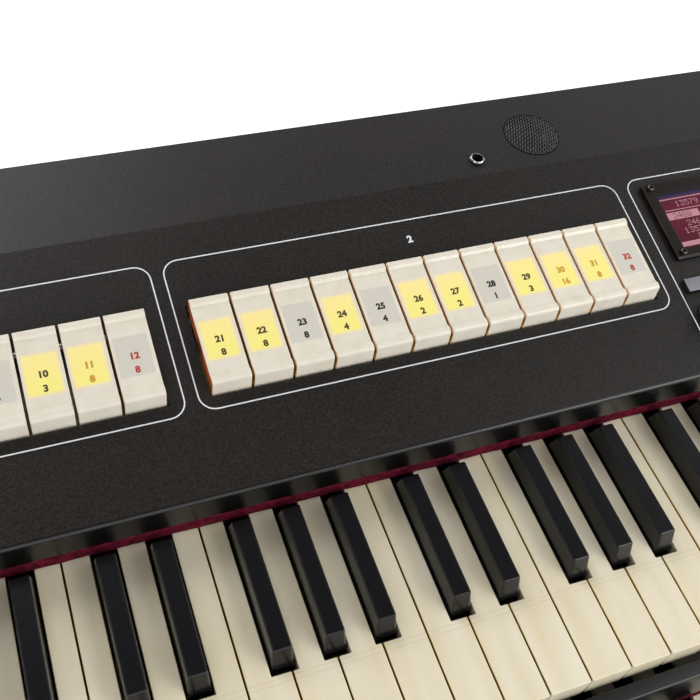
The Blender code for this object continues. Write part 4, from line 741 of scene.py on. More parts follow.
def cad_copy(
    nodes: dict[str, bpy.types.Object], node: str, finishes: Sequence[bpy.types.Material], **shape: Any
) -> bpy.types.Object:
    """A CAD node's shape as a piece of its own on the node's body, standing for the node.

    Args:
        nodes: The frame's nodes.
        node: The node that is copied.
        finishes: The piece's materials.
        **shape: radius for rounded edges; or cut, a point and a normal of the plane beyond which
            the shape stays and is closed; or pick, which gives a face's material from its middle.

    Returns:
        The piece. The copy's loose triangles are merged first, and where its edges are rounded the
        flat ones are joined too.
    """
    mesh = nodes[node].data.copy()
    mesh.name = node + "_finished"
    mesh.materials.clear()
    for finish in finishes:
        mesh.materials.append(finish)
    work = bmesh.new()
    work.from_mesh(mesh)
    bmesh.ops.remove_doubles(work, verts=work.verts, dist=1e-6)
    if "cut" in shape:
        point, normal = shape["cut"]
        geometry = [*work.verts, *work.edges, *work.faces]
        bmesh.ops.bisect_plane(work, geom=geometry, plane_co=point, plane_no=normal, clear_inner=True)
        bmesh.ops.holes_fill(work, edges=[edge for edge in work.edges if edge.is_boundary], sides=0)
        bmesh.ops.recalc_face_normals(work, faces=work.faces)
    if "pick" in shape:
        for face in work.faces:
            face.material_index = shape["pick"](face.calc_center_median())
    if "radius" in shape:
        flat = math.radians(0.5)
        bmesh.ops.dissolve_limit(
            work, angle_limit=flat, verts=work.verts, edges=work.edges, delimit={"NORMAL"}
        )
    work.to_mesh(mesh)
    work.free()
    angle = math.radians(50.0)
    mesh.shade_smooth()
    mesh.set_sharp_from_angle(angle=angle)
    made = bpy.data.objects.new(mesh.name, mesh)
    bpy.context.scene.collection.objects.link(made)
    if "radius" in shape:
        bevel = made.modifiers.new("rounded edges", "BEVEL")
        bevel.width = shape["radius"]
        bevel.segments = 3
        bevel.limit_method = "ANGLE"
        bevel.angle_limit = angle
        bevel.harden_normals = True
    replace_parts(made, node)
    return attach(made, nodes[node]["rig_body"])


def dress(nodes: dict[str, bpy.types.Object], names: Iterable[str], finish: bpy.types.Material) -> None:
    """Gives CAD nodes that keep their shape a finish."""
    for name in names:
        nodes[name].data.materials.clear()
        nodes[name].data.materials.append(finish)


def figures(
    name: str, words: Iterable[tuple[str, float, Matrix]], finish: bpy.types.Material, body: str = CONSOLE
) -> None:
    """Plain figures as one mesh of thin solid strokes.

    Every figure is turned from a text curve into a mesh and carried to its frame.

    Args:
        name: The piece's name.
        words: Each figure's text, height and frame; the text lies in its frame's x and y.
        finish: The ink.
        body: The body that the figures move with.
    """
    shell = Shell()
    for text, height, frame in words:
        curve = bpy.data.curves.new("figure", "FONT")
        curve.body = text
        curve.size = height / 0.73
        curve.align_x = "CENTER"
        curve.align_y = "CENTER"
        curve.resolution_u = 3
        curve.offset = height * 0.065
        curve.extrude = 0.02 * MM
        holder = bpy.data.objects.new("figure", curve)
        bpy.context.scene.collection.objects.link(holder)
        evaluated = holder.evaluated_get(bpy.context.evaluated_depsgraph_get())
        mesh = bpy.data.meshes.new_from_object(evaluated)
        flat = np.zeros(len(mesh.vertices) * 3, np.float32)
        mesh.vertices.foreach_get("co", flat)
        shell.add(placed(flat.reshape(-1, 3).astype(float), frame), [face.vertices for face in mesh.polygons])
        bpy.data.objects.remove(holder)
        bpy.data.meshes.remove(mesh)
    shell.build(name, [finish], body, smooth=20.0)


@dataclass(frozen=True)
class PhotoCamera:
    """The photograph's camera, from key joints of known pitch: its eye and its axes in the console's
    frame, and its focal length in pixels of a frame 700 pixels wide."""

    eye: tuple[float, float, float] = (-87.94 * MM, -194.333 * MM, 611.72 * MM)
    right: tuple[float, float, float] = (0.93301, -0.33815, 0.12308)
    down: tuple[float, float, float] = (-0.19954, -0.77080, -0.60502)
    ahead: tuple[float, float, float] = (0.29945, 0.53993, -0.78664)
    focal_pixels: float = 1001.2
    frame_pixels: float = 700.0
    sensor: float = 36.0

    def build(self) -> None:
        """Makes the camera and makes it the scene's own."""
        data = bpy.data.cameras.new("photo_camera")
        data.sensor_width = self.sensor
        data.lens = self.focal_pixels / self.frame_pixels * self.sensor
        data.clip_start = 0.01
        camera = bpy.data.objects.new("photo_camera", data)
        turn = Matrix((self.right, [-v for v in self.down], [-v for v in self.ahead])).transposed()
        camera.matrix_world = Matrix.Translation(self.eye) @ turn.to_4x4()
        bpy.context.scene.collection.objects.link(camera)
        bpy.context.scene.camera = camera


@dataclass(frozen=True)
class Studio:
    """A pale floor, a white backdrop all round that darkens to a ceiling, and soft lamps."""

    floor_colour: str = "#f4f4f3"
    floor_glow: float = 0.48
    sides: float = 0.62
    ceiling: float = 0.2
    ceiling_span: tuple[float, float] = (0.55, 0.88)
    aim: tuple[float, float, float] = (0.0, 0.05, 0.15)
    lamps: tuple[tuple[str, tuple[float, float, float], float, float], ...] = (
        ("rear_lamp", (-0.35, 1.4, 1.5), 0.8, 9.5),
        ("right_lamp", (1.3, -0.25, 1.25), 1.0, 4.0),
        ("front_lamp", (1.2, -1.2, 1.1), 1.0, 15.0),
        ("fill_lamp", (-0.4, -1.6, 1.0), 2.0, 10.0),
        ("rim_lamp", (-1.4, 1.2, 0.75), 0.6, 8.0),
    )

    def _seen(self, tree: bpy.types.NodeTree) -> bpy.types.NodeSocket:
        """A share that is 1 for what the camera, a mirror or a glass shows."""
        path = add_node(tree, "ShaderNodeLightPath").outputs
        share = path["Is Camera Ray"]
        for kind in ("Is Glossy Ray", "Is Transmission Ray"):
            share = add_node(tree, "ShaderNodeMath", {0: share, 1: path[kind]}, operation="MAXIMUM").outputs[0]
        return share

    def _build_floor(self) -> None:
        """Makes the floor, which glows a little where it is seen so that it shows white."""
        finish, tree, shader = new_material("studio_floor")
        shader.inputs["Base Color"].default_value = linear(self.floor_colour)
        shader.inputs["Roughness"].default_value = 0.9
        shader.inputs["Emission Color"].default_value = (1.0, 1.0, 1.0, 1.0)
        glow = {0: self._seen(tree), 1: self.floor_glow}
        glow = add_node(tree, "ShaderNodeMath", glow, operation="MULTIPLY").outputs[0]
        tree.links.new(glow, shader.inputs["Emission Strength"])
        reach = 25.0
        corners = np.array([[x, y, 0.0] for x, y in rectangle(-reach, reach, -reach, reach)])
        make_object("studio_floor", corners, [[0, 1, 2, 3]], [finish])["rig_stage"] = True

    def _build_world(self) -> None:
        """Makes the surround: the ceiling's share grows with the height of the direction."""
        world = bpy.data.worlds.new("studio")
        world.use_nodes = True
        tree = world.node_tree
        tree.nodes.clear()
        direction = add_node(tree, "ShaderNodeTexCoord").outputs["Generated"]
        height = add_node(tree, "ShaderNodeSeparateXYZ", {0: direction}).outputs["Z"]
        seen = {"Value": self._seen(tree), "To Min": self.sides, "To Max": 1.0}
        low = add_node(tree, "ShaderNodeMapRange", seen).outputs[0]
        start, end = self.ceiling_span
        rise = {"Value": height, "From Min": start, "From Max": end, "To Min": low, "To Max": self.ceiling}
        strength = add_node(tree, "ShaderNodeMapRange", rise, interpolation_type="SMOOTHSTEP").outputs[0]
        light = add_node(tree, "ShaderNodeBackground", {"Color": (1, 1, 1, 1), "Strength": strength})
        add_node(tree, "ShaderNodeOutputWorld", {"Surface": light.outputs[0]})
        bpy.context.scene.world = world

    def build(self) -> None:
        """Makes the floor, the surround and the lamps, all aimed at the console."""
        self._build_floor()
        self._build_world()
        for name, place, size, power in self.lamps:
            data = bpy.data.lights.new(name, "AREA")
            data.size = size
            data.energy = power
            lamp = bpy.data.objects.new(name, data)
            lamp.location = place
            lamp.rotation_euler = (Vector(self.aim) - Vector(place)).to_track_quat("-Z", "Y").to_euler()
            bpy.context.scene.collection.objects.link(lamp)


class Light(Enum):
    """What a tab's window shows."""

    OFF = 0
    ON = 1


@dataclass(frozen=True)
class TabRun:
    """Tabs that move as one piece: the CAD node, and each tab's light, its two figures and whether
    they are red. free says that the first tab's left flank stands at the left end of its row."""

    node: str
    lights: Sequence[Light]
    marks: Sequence[tuple[str, str]]
    red: Sequence[bool]
    free: bool = False


@dataclass
class StopTabs:
    """The rocker tabs of the three divisions, in the panel's frame."""

    pitch: float = 23.25 * MM
    width: float = 21.65 * MM
    front: float = 55.4 * MM
    length: float = 54.1 * MM
    height: float = 9.0 * MM
    skirt: float = 2.9 * MM
    knee: float = 2.6 * MM
    ridge: float = 3.5 * MM
    dish: float = 1.4 * MM
    dish_run: float = 2.2 * MM
    lip: float = 3.5 * MM
    lip_run: float = 1.5 * MM
    edge: float = 0.4 * MM
    figure: float = 3.8 * MM
    figure_places: tuple[float, float] = (83.1 * MM, 75.0 * MM)

    def outline(self) -> np.ndarray:
        """The side outline: a leaning front face, a rounded ridge, a dished face and a rear lip.

        Returns:
            Points of (s, h), as an array.
        """
        back = self.front + self.length
        knee = self.front + self.knee
        face = self.height - self.dish
        corners = (
            (self.front, -self.skirt, 0.3),
            (back, -self.skirt, 0.3),
            (back, self.height, 1.2),
            (back - self.lip, self.height, 0.9),
            (back - self.lip - self.lip_run, face, 1.2),
            (knee + self.ridge + self.dish_run, face, 1.5),
            (knee + self.ridge, self.height, 0.6),
            (knee, self.height, 2.4),
        )
        return rounded([corner[:2] for corner in corners], [corner[2] * MM for corner in corners], steps=5)

    def rings(self) -> np.ndarray:
        """A tab's rings from its left side to its right, as (x, s, h).

        The outline is carried along x; near both sides it shrinks along its normals by a quarter
        circle, which rounds the edges.

        Returns:
            An array of rings by points by three, x from the tab's left side.
        """
        outline = self.outline()
        tangent = np.roll(outline, -1, axis=0) - np.roll(outline, 1, axis=0)
        normal = np.stack([tangent[:, 1], -tangent[:, 0]], 1)
        normal /= np.linalg.norm(normal, axis=1)[:, None]
        quarter = np.linspace(0, math.pi / 2, 4)
        side = self.edge * (1 - np.cos(quarter))
        shrink = self.edge * (1 - np.sin(quarter))
        x = np.concatenate([side, [self.width / 2], self.width - side[::-1]])
        shrink = np.concatenate([shrink, [0], shrink[::-1]])
        flat = outline[None] - normal[None] * shrink[:, None, None]
        return np.concatenate([np.broadcast_to(x[:, None, None], (*flat.shape[:2], 1)), flat], axis=-1)

    def build_run(self, run: TabRun, finishes: Sequence[bpy.types.Material]) -> None:
        """Builds the tabs that move as one piece and puts them on their body.

        Args:
            run: The tabs.
            finishes: The resin of the tabs' faces, and that of their flanks with its painted shade and glow.
        """
        rings = self.rings()
        rows, columns = rings.shape[:2]
        faces = loft_faces(rows, columns)
        on_flank = [1] * columns + [0] * ((rows - 3) * columns) + [1] * (columns + 2)
        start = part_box(run.node)[0][0]
        shell = Shell()
        for index in range(len(run.lights)):
            x, s, h = np.moveaxis(rings, -1, 0)
            shell.add(PANEL.points(start + index * self.pitch + x, s, h), faces, on_flank)
        made = shell.build(run.node + "_shell", finishes, run.node, smooth=40.0)
        count = rows * columns
        add_map(made, "tab_mm", np.tile(rings[..., :2].reshape(-1, 2) / MM, (len(run.lights), 1)))
        add_values(made, "lit", np.repeat([float(light.value) for light in run.lights], count))
        first = np.arange(count * len(run.lights)) < 2 * columns
        add_values(made, "free", first * float(run.free))
        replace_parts(made, run.node)

    def build_marks(self, run: TabRun, inks: dict[tuple[bool, Light], bpy.types.Material]) -> None:
        """Prints each tab's plain figures in its window.

        Args:
            run: The tabs.
            inks: The ink for each of red or not, and lit or not.
        """
        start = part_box(run.node)[0][0]
        face = self.height - self.dish + 0.02 * MM
        for number, (kind, ink) in enumerate(inks.items()):
            words = [
                (text, self.figure, PANEL.matrix(start + index * self.pitch + self.width / 2, s, face))
                for index, mark in enumerate(run.marks)
                if (run.red[index], run.lights[index]) == kind
                for text, s in zip(mark, self.figure_places)
            ]
            if words:
                figures(f"{run.node}_figures_{number}", words, ink, run.node)

    def runs(self) -> list[TabRun]:
        """The tabs of the three divisions, as the frame's nodes group them."""
        on, off = Light.ON, Light.OFF
        lit = (on, on, off, on, off, on, on, off, on, on, on, off)
        feet = ("8", "8", "8", "4", "4", "2", "2", "1", "3", "16", "8", "8")
        marks = [(str(index + 21), foot) for index, foot in enumerate(feet)]
        found = [
            TabRun(f"tab_ii_{index + 1:02d}", (lit[index],), (marks[index],), (index > 8,), index == 0)
            for index in range(12)
        ]
        lit = (on, off, on, on, off, on, off, off, off, on, on, off)
        feet = ("16", "8", "8", "8", "4", "4", "2", "2", "5", "3", "8", "8")
        marks = [(str(index + 1), foot) for index, foot in enumerate(feet)]
        found.append(TabRun("tab_bank_i", lit[:9], marks[:9], (False,) * 9, True))
        found += [
            TabRun(f"tab_i_{index + 1}", (lit[index],), (marks[index],), (index > 9,)) for index in (9, 10, 11)
        ]
        feet = ("32", "16", "16", "8", "4", "16")
        marks = [(str(index + 41), foot) for index, foot in enumerate(feet)]
        red = (False,) * 5 + (True,)
        found.append(TabRun("tab_bank_pedal", (on, off, on, off, off, off), marks, red, True))
        return found

    def build(self) -> None:
        """Builds every run of tabs and its figures."""
        finishes = [TabResin().build(), flank_finish()]
        # Figures printed in dark and red ink, paler and browner where the light shines through them
        tones = {
            (False, Light.OFF): ("dark_ink", "#100f0f", "#181716"),
            (False, Light.ON): ("dark_ink_backlit", "#3a2f14", "#4a3c1b"),
            (True, Light.OFF): ("red_ink", "#a82f28", "#bc3d34"),
            (True, Light.ON): ("red_ink_backlit", "#b98a18", "#cc9c22"),
        }
        inks = {kind: Finish(*names, 0.6, grain_mm=0.3, relief_mm=0.001).build() for kind, names in tones.items()}
        for run in self.runs():
            self.build_run(run, finishes)
            self.build_marks(run, inks)


@dataclass
class PanelPrint:
    """The white outlines and figures on the tab panel."""

    line: float = 0.75 * MM
    radius: float = 9.0 * MM
    lift: float = 0.04 * MM
    far: float = 140.2 * MM
    spans: tuple[tuple[str, float, float, float], ...] = (
        ("2", -9.8 * MM, 284.3 * MM, 47.2 * MM),
        ("1", -311.4 * MM, -17.3 * MM, 47.2 * MM),
        ("3", -473.5 * MM, -318.9 * MM, 47.2 * MM),
        ("", 293.5 * MM, 478.0 * MM, 20.0 * MM),
    )

    def build(self, ink: bpy.types.Material) -> None:
        """Prints the outlines as thin closed bands, and the divisions' figures."""
        outlines = Shell()
        words = []
        half = self.line / 2
        for text, left, right, near in self.spans:
            corners = rectangle(left, right, near, self.far)
            sections = ((-half, 0.0), (-half, self.lift), (half, self.lift), (half, 0.0))
            rings = stacked((rounded(corners, self.radius, inset, 8), height) for inset, height in sections)
            outlines.loft(placed(rings, PANEL.matrix()), tube=True)
            if text:
                words.append((text, 4.6 * MM, PANEL.matrix((left + right) / 2, 126.5 * MM, self.lift)))
        outlines.build("panel_outlines", [ink])
        figures("division_figures", words, ink)


# Five by seven cells of the figures 0 to 9, each row of cells a binary number
CELLS = (
    (14, 17, 19, 21, 25, 17, 14),
    (4, 12, 4, 4, 4, 4, 14),
    (14, 17, 1, 2, 4, 8, 31),
    (31, 2, 4, 2, 1, 17, 14),
    (2, 6, 10, 18, 31, 2, 2),
    (31, 16, 30, 1, 1, 17, 14),
    (6, 8, 16, 30, 17, 17, 14),
    (31, 1, 2, 4, 8, 8, 8),
    (14, 17, 17, 14, 17, 17, 14),
    (14, 17, 17, 15, 1, 2, 12),
)


@dataclass
class Display:
    """The bezel, its screws, and the screen with its rules and rows of figures."""

    face: float = 2.7 * MM
    top: float = 3.3 * MM
    seat: float = 0.3 * MM
    lift: float = 0.03 * MM
    screw_inset: tuple[float, float] = (5.0 * MM, 3.8 * MM)
    bezel: tuple[float, float] = (76.6 * MM, 133.2 * MM)
    window: tuple[float, float] = (83.4 * MM, 124.2 * MM)

    def _bar(self, shell: Shell, x0: float, x1: float, s0: float, s1: float) -> None:
        """Adds a thin bar on the glass, given in millimetres of the panel's frame."""
        flat = np.array(rectangle(x0, x1, s0, s1)) * MM
        heights = (self.face, self.face + 2 * self.lift)
        shell.loft(placed(stacked((flat, height) for height in heights), PANEL.matrix()))

    def _write(self, shell: Shell, text: str, x: float, s: float, cell: float = 0.6) -> None:
        """Adds a row of figures, each lit cell a bar a little smaller than the cell.

        Args:
            shell: Where the bars go.
            text: Figures and spaces.
            x: The row's left end, in millimetres.
            s: Its foot, in millimetres.
            cell: The cell's size, in millimetres.
        """
        for place, letter in enumerate(text):
            rows = CELLS[int(letter)] if letter.isdigit() else ()
            for row, bits in enumerate(rows):
                for column in range(5):
                    if bits >> (4 - column) & 1:
                        left = x + (place * 6 + column) * cell
                        low = s + (6 - row) * cell
                        self._bar(shell, left, left + 0.86 * cell, low, low + 0.86 * cell)

    def _build_bezel(self, sides: tuple[float, float], window_sides: tuple[float, float]) -> None:
        """Makes the bezel: a section carried round the plate's and the window's outlines.

        Args:
            sides: The plate's least and greatest x.
            window_sides: The window's.
        """
        near, far = self.bezel
        plate = rectangle(*sides, near, far)
        sloped = rectangle(*sides, near + 0.8 * MM, far)
        window = rectangle(*window_sides, *self.window)
        sections = (
            (plate, 0.0, self.seat),
            (plate, 0.0, self.top - 1.3 * MM),
            (sloped, 0.0, self.top - 0.5 * MM),
            (sloped, 0.5 * MM, self.top),
            (window, -0.3 * MM, self.top),
            (window, -0.1 * MM, self.top - 0.1 * MM),
            (window, 0.0, self.top - 0.3 * MM),
            (window, 0.0, self.seat),
        )
        rings = stacked((rounded(corners, 1.2 * MM, inset, 4), height) for corners, inset, height in sections)
        rows, columns = rings.shape[:2]
        # The outer and inner walls take the wall finish, whose near-black colour is painted shade.
        walls = [1] * columns + [0] * ((rows - 2) * columns) + [1] * columns
        shell = Shell()
        shell.add(placed(rings, PANEL.matrix()), loft_faces(rows, columns, True), walls)
        finishes = [BEZEL_GLOSS.build(), BEZEL_WALL_PAINTED_SHADE.build()]
        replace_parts(shell.build("display_bezel_rim", finishes), "display_bezel")

    def _build_screws(self, sides: tuple[float, float]) -> None:
        """Makes the four socket screws: a round head whose top falls into a hexagonal hole.

        The hole's radius at each angle is its half width over the cosine of the angle from the
        middle of the nearest side.

        Args:
            sides: The bezel's least and greatest x.
        """
        finish = DARK_STEEL.build()
        angle = np.linspace(0, 2 * math.pi, 36, endpoint=False)
        circle = np.stack([np.cos(angle), np.sin(angle)], 1) * MM
        hexagon = circle / np.cos(angle % (math.pi / 3) - math.pi / 6)[:, None]
        shank = ((circle * 1.3, -8.9), (circle * 1.3, 0.0))
        head = ((circle * 2.25, 0.0), (circle * 2.25, 1.3), (circle * 2.05, 1.9), (circle * 1.7, 2.15))
        hole = ((hexagon * 1.02, 2.15), (hexagon * 0.95, 0.9))
        rings = stacked((flat, height * MM) for flat, height in (*shank, *head, *hole))
        x_inset, s_inset = self.screw_inset
        corners = rectangle(sides[0] + x_inset, sides[1] - x_inset, self.bezel[0] + s_inset, self.bezel[1] - s_inset)
        names = {name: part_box(name)[0] for name in (f"bezel_screw_{number}" for number in range(1, 5))}
        for x, s in corners:
            place = PANEL.matrix(x, s, self.top)
            name = min(names, key=lambda one: (names[one] - place.translation).length)
            shell = Shell()
            shell.loft(placed(rings, place))
            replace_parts(shell.build(f"{name}_head", [finish]), name)

    def _build_glass(self, sides: tuple[float, float]) -> None:
        """Makes the glass, a thin slab over the display's body, with its place up the panel as a map.

        Args:
            sides: The glass's least and greatest x.
        """
        flat = np.array(rectangle(*sides, *self.window))
        shell = Shell()
        heights = (self.face - 0.5 * MM, self.face + self.lift)
        shell.loft(placed(stacked((flat, height) for height in heights), PANEL.matrix()))
        made = shell.build("screen_glass", [screen_finish(*self.window)])
        add_map(made, "screen_mm", np.tile(flat / MM, (2, 1)))

    def build(self, nodes: dict[str, bpy.types.Object]) -> None:
        """Builds the bezel, the screws, the glass and what the screen shows."""
        low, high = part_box("display_bezel")
        sides = (low[0], high[0])
        low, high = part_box("display_module")
        self._build_bezel(sides, (low[0] - 0.3 * MM, high[0] + 0.3 * MM))
        self._build_screws(sides)
        self._build_glass((low[0], high[0]))
        dress(nodes, ["display_module"], BLACK_ABS.build())
        left, right = low[0] / MM, high[0] / MM
        pale = Shell()
        self._bar(pale, left + 0.3, right - 0.3, 84.2, 87.6)
        self._bar(pale, left, right, 119.4, 120.2)
        self._bar(pale, left + 0.5, right - 0.5, 111.1, 111.7)
        self._bar(pale, left, left + 24.0, 104.4, 109.8)
        self._write(pale, "13579 2468", 319.3, 113.6)
        self._write(pale, "246 81", 320.6, 98.6)
        self._write(pale, "1357 90", 316.4, 93.3)
        self._write(pale, "862", 324.2, 88.6, cell=0.5)
        pale.build("screen_pale_cells", [glow_finish("pink_cells", ("#b97a86", "#cd909b"))])
        dark = Shell()
        self._write(dark, "2480", 313.4, 105.0)
        made = dark.build("screen_dark_cells", [glow_finish("maroon_cells", ("#4a1a28", "#58212f"))])
        made.data.transform(Matrix.Translation(PANEL.matrix().to_3x3().col[2] * self.lift))


@dataclass
class Controls:
    """The volume knob and the buttons below the screen."""

    knob_s: float = 35.3 * MM
    flutes: int = 24
    grip: float = 0.35 * MM
    cap_height: float = 2.9 * MM

    def build(self, nodes: dict[str, bpy.types.Object], ink: bpy.types.Material) -> None:
        """Builds the fluted knob, whose grip radius ripples round its axis, and finishes the buttons.

        Args:
            nodes: The frame's nodes.
            ink: The pointer's ink.
        """
        low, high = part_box("volume_knob")
        frame = PANEL.matrix((low[0] + high[0]) / 2, self.knob_s)
        foot = ((2.8, -9.9), (2.8, 0.35), (10.9, 0.35), (10.9, 1.7), (10.4, 2.2), (9.1, 2.5))
        body = ((8.9, 4.0), (8.6, 12.2), (8.1, 13.5))
        crown = ((7.2, 13.95), (0.4, 13.95))
        depth = np.array([0.0] * len(foot) + [1.0, 1.0, 0.6] + [0.0] * len(crown)) * self.grip
        rings = turned(foot + body + crown, self.flutes * 6, Matrix.Identity(4))
        angle = np.arctan2(rings[..., 1], rings[..., 0])
        radius = np.hypot(rings[..., 0], rings[..., 1])
        share = 1 + depth[:, None] * (np.cos(self.flutes * angle) - 1) / radius
        rings[..., :2] *= share[..., None]
        knob = Shell()
        knob.loft(placed(rings, frame))
        flat = np.array(rectangle(-0.4, 0.4, 3.0, 7.0)) * MM
        knob.loft(placed(stacked((flat, height * MM) for height in (13.9, 14.0)), frame), pick=1)
        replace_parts(knob.build("volume_knob_fluted", [BLACK_ABS.build(), ink], "volume_knob"), "volume_knob")
        up = PANEL.matrix().inverted()
        finishes = [SILVER_CAP.build(), BLACK_ABS.build()]
        cad_copy(
            nodes,
            "menu_buttons",
            finishes,
            radius=0.25 * MM,
            pick=lambda middle: int((up @ middle).z < self.cap_height),
        )


@dataclass
class Keys:
    """The moulded keys of both manuals, in the manual's frame: each key is a shape of its own in
    front of the felt, and the comb's arms and bar behind it keep the CAD shape."""

    head_front: float = -136.5 * MM
    head_back: float = -86.5 * MM
    neck_end: float = 3.9 * MM
    arms_from: float = 4.0 * MM
    thickness: float = 8.0 * MM
    lip_height: float = 17.0 * MM
    lip_thickness: float = 4.0 * MM
    gap: float = 1.0 * MM
    slot: float = 14.0 * MM
    edge: float = 0.45 * MM
    sharp_height: float = 12.5 * MM
    sharp_half: tuple[float, float] = (5.9 * MM, 4.8 * MM)
    sharp_front: tuple[float, float] = (-83.6 * MM, -79.2 * MM)
    sharp_back: tuple[float, float] = (-4.4 * MM, -7.6 * MM)
    sharp_edge: float = 0.9 * MM
    sharp_corner: tuple[float, float] = (2.4 * MM, 0.9 * MM)
    sharp_sink: float = 1.5 * MM
    pistons: int = 8
    piston_pitch: float = 30.0 * MM

    def spans(self) -> tuple[np.ndarray, ...]:
        """Where the naturals stand: the sharps' slots are alike within C to E and within F to B.

        Returns:
            The letters from 0 for C to 6 for B, then each head's left and right side and each
            neck's left and right side.
        """
        index = np.arange(NATURAL_COUNT)
        letter = index % 7
        left = index * NATURAL_PITCH - KEYBOARD_HALF
        octave = left - letter * NATURAL_PITCH
        low = letter < 3
        neck = np.where(low, NATURAL_PITCH - self.slot * 2 / 3, NATURAL_PITCH - self.slot * 3 / 4)
        group = np.where(low, octave, octave + 3 * NATURAL_PITCH)
        neck_left = group + np.where(low, letter, letter - 3) * (neck + self.slot)
        neck_right = neck_left + neck
        neck_right[-1] = left[-1] + NATURAL_PITCH
        head_left, head_right = left + self.gap / 2, left + NATURAL_PITCH - self.gap / 2
        return letter, head_left, head_right, np.maximum(neck_left, head_left), np.minimum(neck_right, head_right)

    def natural(self, sides: Sequence[float]) -> list[tuple[np.ndarray, list[int]]]:
        """A natural's two solids: its plan carried down from a rounded top edge, and its front lip.

        Args:
            sides: The head's left and right side and the neck's left and right side.

        Returns:
            Each solid's rings and the number of each face's material, 1 for the flanks with their painted glow and
            gap shade.
        """
        left, right, neck_left, neck_right = sides
        corners = [(left, self.head_front, 0.9), (right, self.head_front, 0.9)]
        if neck_right < right - self.edge:
            corners += [(right, self.head_back, 0.5), (neck_right, self.head_back, 0.5)]
        corners += [(neck_right, self.neck_end, 0.3), (neck_left, self.neck_end, 0.3)]
        if neck_left > left + self.edge:
            corners += [(neck_left, self.head_back, 0.5), (left, self.head_back, 0.5)]
        lip = [(left, self.head_front, 0.9), (right, self.head_front, 0.9)]
        lip += [(x, self.head_front + self.lip_thickness, 0.1) for x in (right, left)]
        slab_levels = [(0.0, -self.thickness), *edge_levels(self.edge, 0.0)]
        lip_levels = [(0.0, -self.lip_height), (0.0, -self.thickness)]
        solids = []
        for outline, levels in ((corners, slab_levels), (lip, lip_levels)):
            plan, radii = [corner[:2] for corner in outline], [corner[2] * MM for corner in outline]
            rings = stacked((rounded(plan, radii, inset), height) for inset, height in levels)
            rows, columns = rings.shape[:2]
            x = rings[0, :, 0]
            flank = np.zeros(columns, int)
            for side in (left, right):
                on_side = np.abs(x - side) < 1e-6
                flank |= on_side & np.roll(on_side, -1)
            # The walls and the lower rounding take the flank finish, painted with glow and the gap's shade.
            painted_flank_rows = min(rows - 1, 3)
            solids.append((rings, flank.tolist() * painted_flank_rows + [0] * ((rows - 1 - painted_flank_rows) * columns + 2)))
        return solids

    def sharp(self, middle: float) -> np.ndarray:
        """A sharp's rings: rounded rectangles that draw in towards the top and round over there."""
        rings = []
        for inset, height in [(0.0, -self.sharp_sink), (0.0, 0.0), (0.0, 0.1 * MM), *edge_levels(self.sharp_edge, self.sharp_height, 5)]:
            share = max(height, 0.0) / self.sharp_height
            spans = (self.sharp_half, self.sharp_front, self.sharp_back, self.sharp_corner)
            half, near, far, corner = (low + (high - low) * share for low, high in spans)
            corners = rectangle(middle - half, middle + half, near, far)
            rings.append((rounded(corners, [corner, corner, 0.6 * MM, 0.6 * MM], inset, 5), height))
        return stacked(rings)

    def build_manual(self, nodes: dict[str, bpy.types.Object], manual: str, finishes: dict[str, Any]) -> None:
        """Builds one manual's keys and its combs' arms.

        Args:
            nodes: The frame's nodes.
            manual: Its name.
            finishes: The ivory, the flank with its painted glow and gap shade, and the ebony finishes.
        """
        letter, *sides = self.spans()
        line, top = FELT_LINES[manual], KEY_TOPS[manual]
        place = np.array([0.0, line, top])
        for comb, letters in (("natural_keys_ceg", (0, 2, 4, 6)), ("natural_keys_dfa", (1, 3, 5))):
            node = f"{comb}_{manual}"
            shell = Shell()
            places = []
            for index in np.flatnonzero(np.isin(letter, letters)):
                for rings, picks in self.natural([side[index] for side in sides]):
                    shell.add(rings + place, loft_faces(*rings.shape[:2]), picks)
                    places.append(rings.reshape(-1, 3) / MM)
            made = shell.build(f"{node}_fronts", [finishes["ivory"], finishes["flank"]], node)
            places = np.concatenate(places)
            add_map(made, "key_mm", places[:, :2])
            add_values(made, "height_mm", places[:, 2])
            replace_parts(made, node)
            rest = cad_copy(nodes, node, [finishes["ivory"]], cut=((0, line + self.arms_from, 0), (0, 1, 0)))
            add_map(rest, "key_mm", np.zeros((len(rest.data.vertices), 2)))
        node = f"sharp_keys_{manual}"
        slots = (sides[3][:-1] + sides[2][1:]) / 2
        shell = Shell()
        for middle in slots[np.isin(letter[:-1], (0, 1, 3, 4, 5))]:
            shell.loft(self.sharp(middle) + place)
        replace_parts(shell.build(f"{node}_tops", [finishes["ebony"]], node), node)
        cad_copy(nodes, node, [finishes["ebony"]], cut=((0, 0, top - 1.02 * MM), (0, 0, -1)))

    def build(self, nodes: dict[str, bpy.types.Object]) -> None:
        """Builds the keys of both manuals and the thumb pistons with their figures."""
        finishes = {"ivory": key_finish(), "flank": key_flank_finish(), "ebony": EBONY_RESIN.build()}
        button = IVORY_RESIN.build()
        ink = Finish("piston_ink", "#1a1918", "#242220", 0.6).build()
        upright = Matrix.Rotation(math.pi / 2, 4, "X")
        for manual in FELT_LINES:
            self.build_manual(nodes, manual, finishes)
            node = f"thumb_pistons_{manual}"
            cad_copy(nodes, node, [button], radius=0.5 * MM)
            low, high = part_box(node)
            words = []
            for number in range(self.pistons):
                x = (number - (self.pistons - 1) / 2) * self.piston_pitch
                spot = Matrix.Translation((x, low[1] - 0.02 * MM, (low[2] + high[2]) / 2))
                words.append((str(number + 1), 4.6 * MM, spot @ upright))
            figures(f"{node}_figures", words, ink, node)


